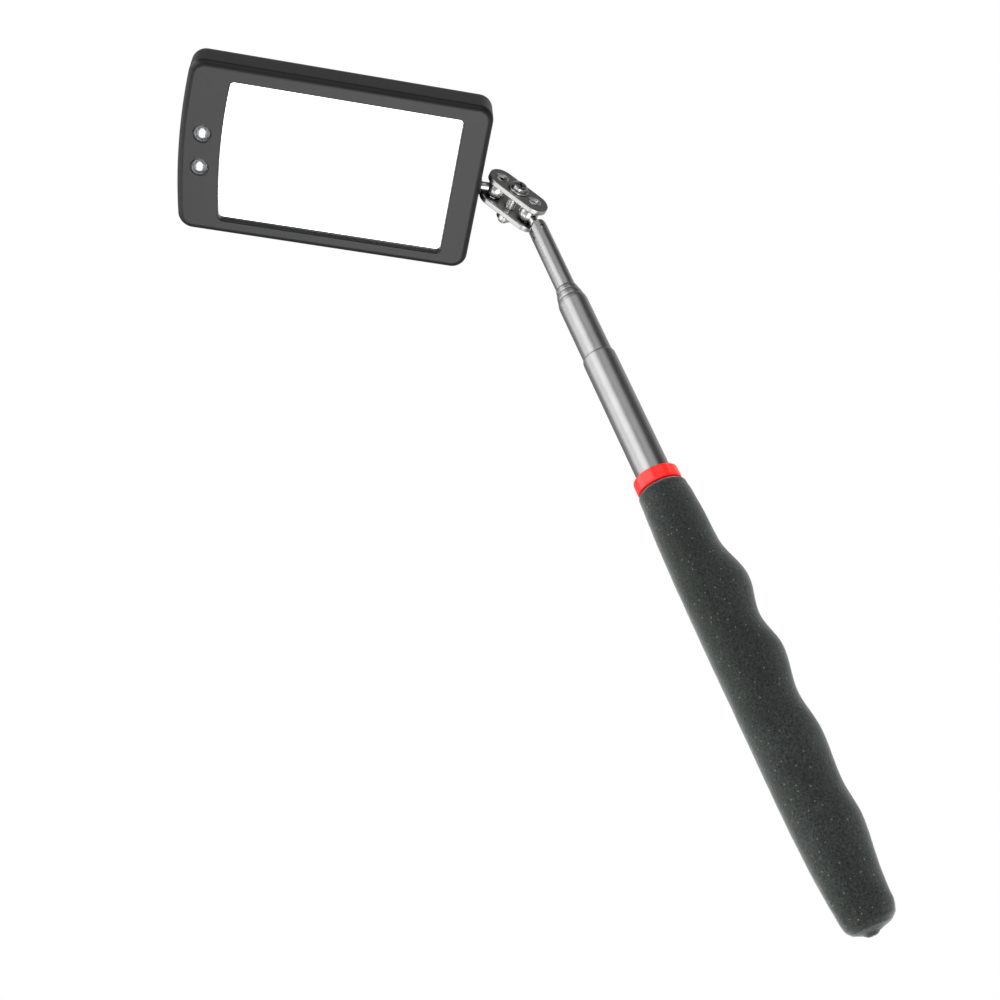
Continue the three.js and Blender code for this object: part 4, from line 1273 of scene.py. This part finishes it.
# How bright the floor looks in reflections: across the tool, and along it, as (metres, strength).
FLOOR_ACROSS = [(-1.31, 0.11), (-0.436, 0.12), (-0.131, 0.5), (0.0, 0.4), (0.109, 0.2), (1.31, 0.2)]
FLOOR_BEHIND = [(-0.94, 1.0), (-0.068, 0.0)]
FLOOR_BOUNCE = 0.85
WHITE = (1, 1, 1, 1)


def floor_material():
    """Pale floor: white to the camera, greyer in reflections, a soft bounce, and clear from below."""
    n = painted("floor_pale")
    n.tree.nodes.remove(n.bsdf)
    split = n.made("SeparateXYZ", None, {0: n.place["Object"]})

    def graded(axis, stops):
        """Brightness along one axis of the floor."""
        start = stops[0][0]
        length = stops[-1][0] - start
        along = n.spread(split.outputs[axis], 0.0, 1.0, start, start + length)
        grey = [((metres - start) / length, [strength] * 3) for metres, strength in stops]
        return n.ramp(along, grey, "EASE")

    path = n.made("LightPath", None, {})
    brighter = n.math("MAXIMUM", graded("Y", FLOOR_ACROSS), graded("X", FLOOR_BEHIND))
    mirrored = n.made("Emission", 0, {"Strength": brighter})
    bounce = n.made("Emission", 0, {"Strength": FLOOR_BOUNCE})
    white = n.made("Emission", 0, {"Color": WHITE, "Strength": 1.0})
    unseen = n.either(path.outputs["Is Glossy Ray"], bounce, mirrored)
    upper = n.either(path.outputs["Is Camera Ray"], unseen, white)
    below = n.made("NewGeometry", "Backfacing", {})
    whole = n.either(below, upper, n.made("BsdfTransparent", 0, {}))
    n.put(whole, n.tree.nodes["Material Output"].inputs["Surface"])
    return n.owner


def stage_floor():
    bm = bmesh.new()
    bmesh.ops.create_grid(bm, x_segments=8, y_segments=8, size=FLOOR_SIZE / 2)
    bmesh.ops.translate(bm, verts=bm.verts, vec=(0.1, 0, cad_low.z - FLOOR_DROP))
    floor = new_object("floor", bm, Matrix.Identity(4))
    if floor.data.polygons[0].normal.z < 0:
        floor.data.flip_normals()
    floor.data.materials.append(floor_material())


stage_floor()

WORLD_COLOUR = (0.95, 0.97, 1.0, 1)
WORLD_SIDE = Vector((-0.75, 0.60, 0.25)).normalized()
WORLD_DARK = 0.02
WORLD_BRIGHT = 0.42


def studio_world():
    """A soft room that is brighter on the camera's left and behind it, and plain white to the camera."""
    n = Nodes(bpy.data.worlds.new("studio"))
    bpy.context.scene.world = n.owner
    directions = {0: n.place["Generated"], 1: WORLD_SIDE}
    toward = n.made("VectorMath", "Value", directions, operation="DOT_PRODUCT")
    fade = n.spread(toward, WORLD_DARK, WORLD_BRIGHT, -0.6, 0.8, interpolation_type="SMOOTHSTEP")
    room = n.made("Background", 0, {"Color": WORLD_COLOUR, "Strength": fade})
    white = n.made("Background", 0, {"Color": WHITE})
    path = n.made("LightPath", "Is Camera Ray", {})
    n.put(n.either(path, room, white), n.tree.nodes["World Output"].inputs["Surface"])


studio_world()

LIGHT_TARGET = Vector((0.16, 0.0, 0.0))


def softbox(name, direction, distance, size, power, shines="everywhere"):
    """A rectangular light whose first side runs along the tool.

    It can shine everywhere, or only on "dull" or only on "shiny" surfaces.
    """
    light = bpy.data.lights.new(name, "AREA")
    light.shape = "RECTANGLE"
    light.size, light.size_y = size
    light.energy = power
    ob = bpy.data.objects.new(name, light)
    way = Vector(direction).normalized()
    along = (Vector((1, 0, 0)) - way * way.x).normalized()
    turn = Matrix((along, way.cross(along), way)).transposed().to_4x4()
    ob.matrix_world = Matrix.Translation(LIGHT_TARGET + way * distance) @ turn
    ob.visible_glossy = shines != "dull"
    ob.visible_diffuse = shines != "shiny"
    bpy.context.scene.collection.objects.link(ob)


# The streak and its two neighbours make the soft bands on the tubes, from the camera's left to its right.
# The front light fills the head and the mirror, and the side light finds the walls of the clamp plates.
# The mouth light catches the tubes' rolled mouths. The two fills light the foam and don't show in steel.
softbox("streak_softbox", (0.44, 0.45, 0.77), 0.9, (0.8, 0.70), 2.3)
softbox("left_softbox", (0.44, 0.88, 0.20), 0.9, (0.8, 0.50), 1.1)
softbox("right_softbox", (0.44, -0.45, 0.77), 0.9, (0.8, 0.60), 0.8, "shiny")
softbox("front_softbox", (-0.92, 0.20, 0.30), 1.0, (0.6, 1.0), 5.3)
softbox("side_softbox", (-0.31, 0.92, 0.23), 0.9, (0.5, 0.3), 0.55)
softbox("mouth_softbox", (0.88, 0.42, 0.25), 0.9, (0.4, 0.4), 1.0)
softbox("left_fill", (0.10, 0.97, 0.20), 0.9, (1.0, 0.3), 6.8, "dull")
softbox("right_fill", (0.10, -0.99, 0.08), 0.9, (1.0, 0.15), 8.0, "dull")

CAMERA_PLACE = Vector((-0.0378, 0.0, 0.3626))
CAMERA_FORWARD = Vector((0.4384, 0.0997, -0.8932))
CAMERA_UP = Vector((0.8299, -0.4265, 0.3597))
SENSOR_MM = 36.0
FOCAL_LENGTH_MM = 54.0

camera_data = bpy.data.cameras.new("camera")
camera_data.sensor_width = SENSOR_MM
camera_data.lens = FOCAL_LENGTH_MM
camera_data.clip_start = 0.01
camera = bpy.data.objects.new("camera", camera_data)
bpy.context.scene.collection.objects.link(camera)
back = -CAMERA_FORWARD.normalized()
right = CAMERA_UP.cross(back).normalized()
up = back.cross(right)
camera_turn = Matrix((right, up, back)).transposed().to_4x4()
camera.matrix_world = Matrix.Translation(CAMERA_PLACE) @ camera_turn
bpy.context.scene.camera = camera
bpy.context.scene.view_settings.view_transform = "Standard"
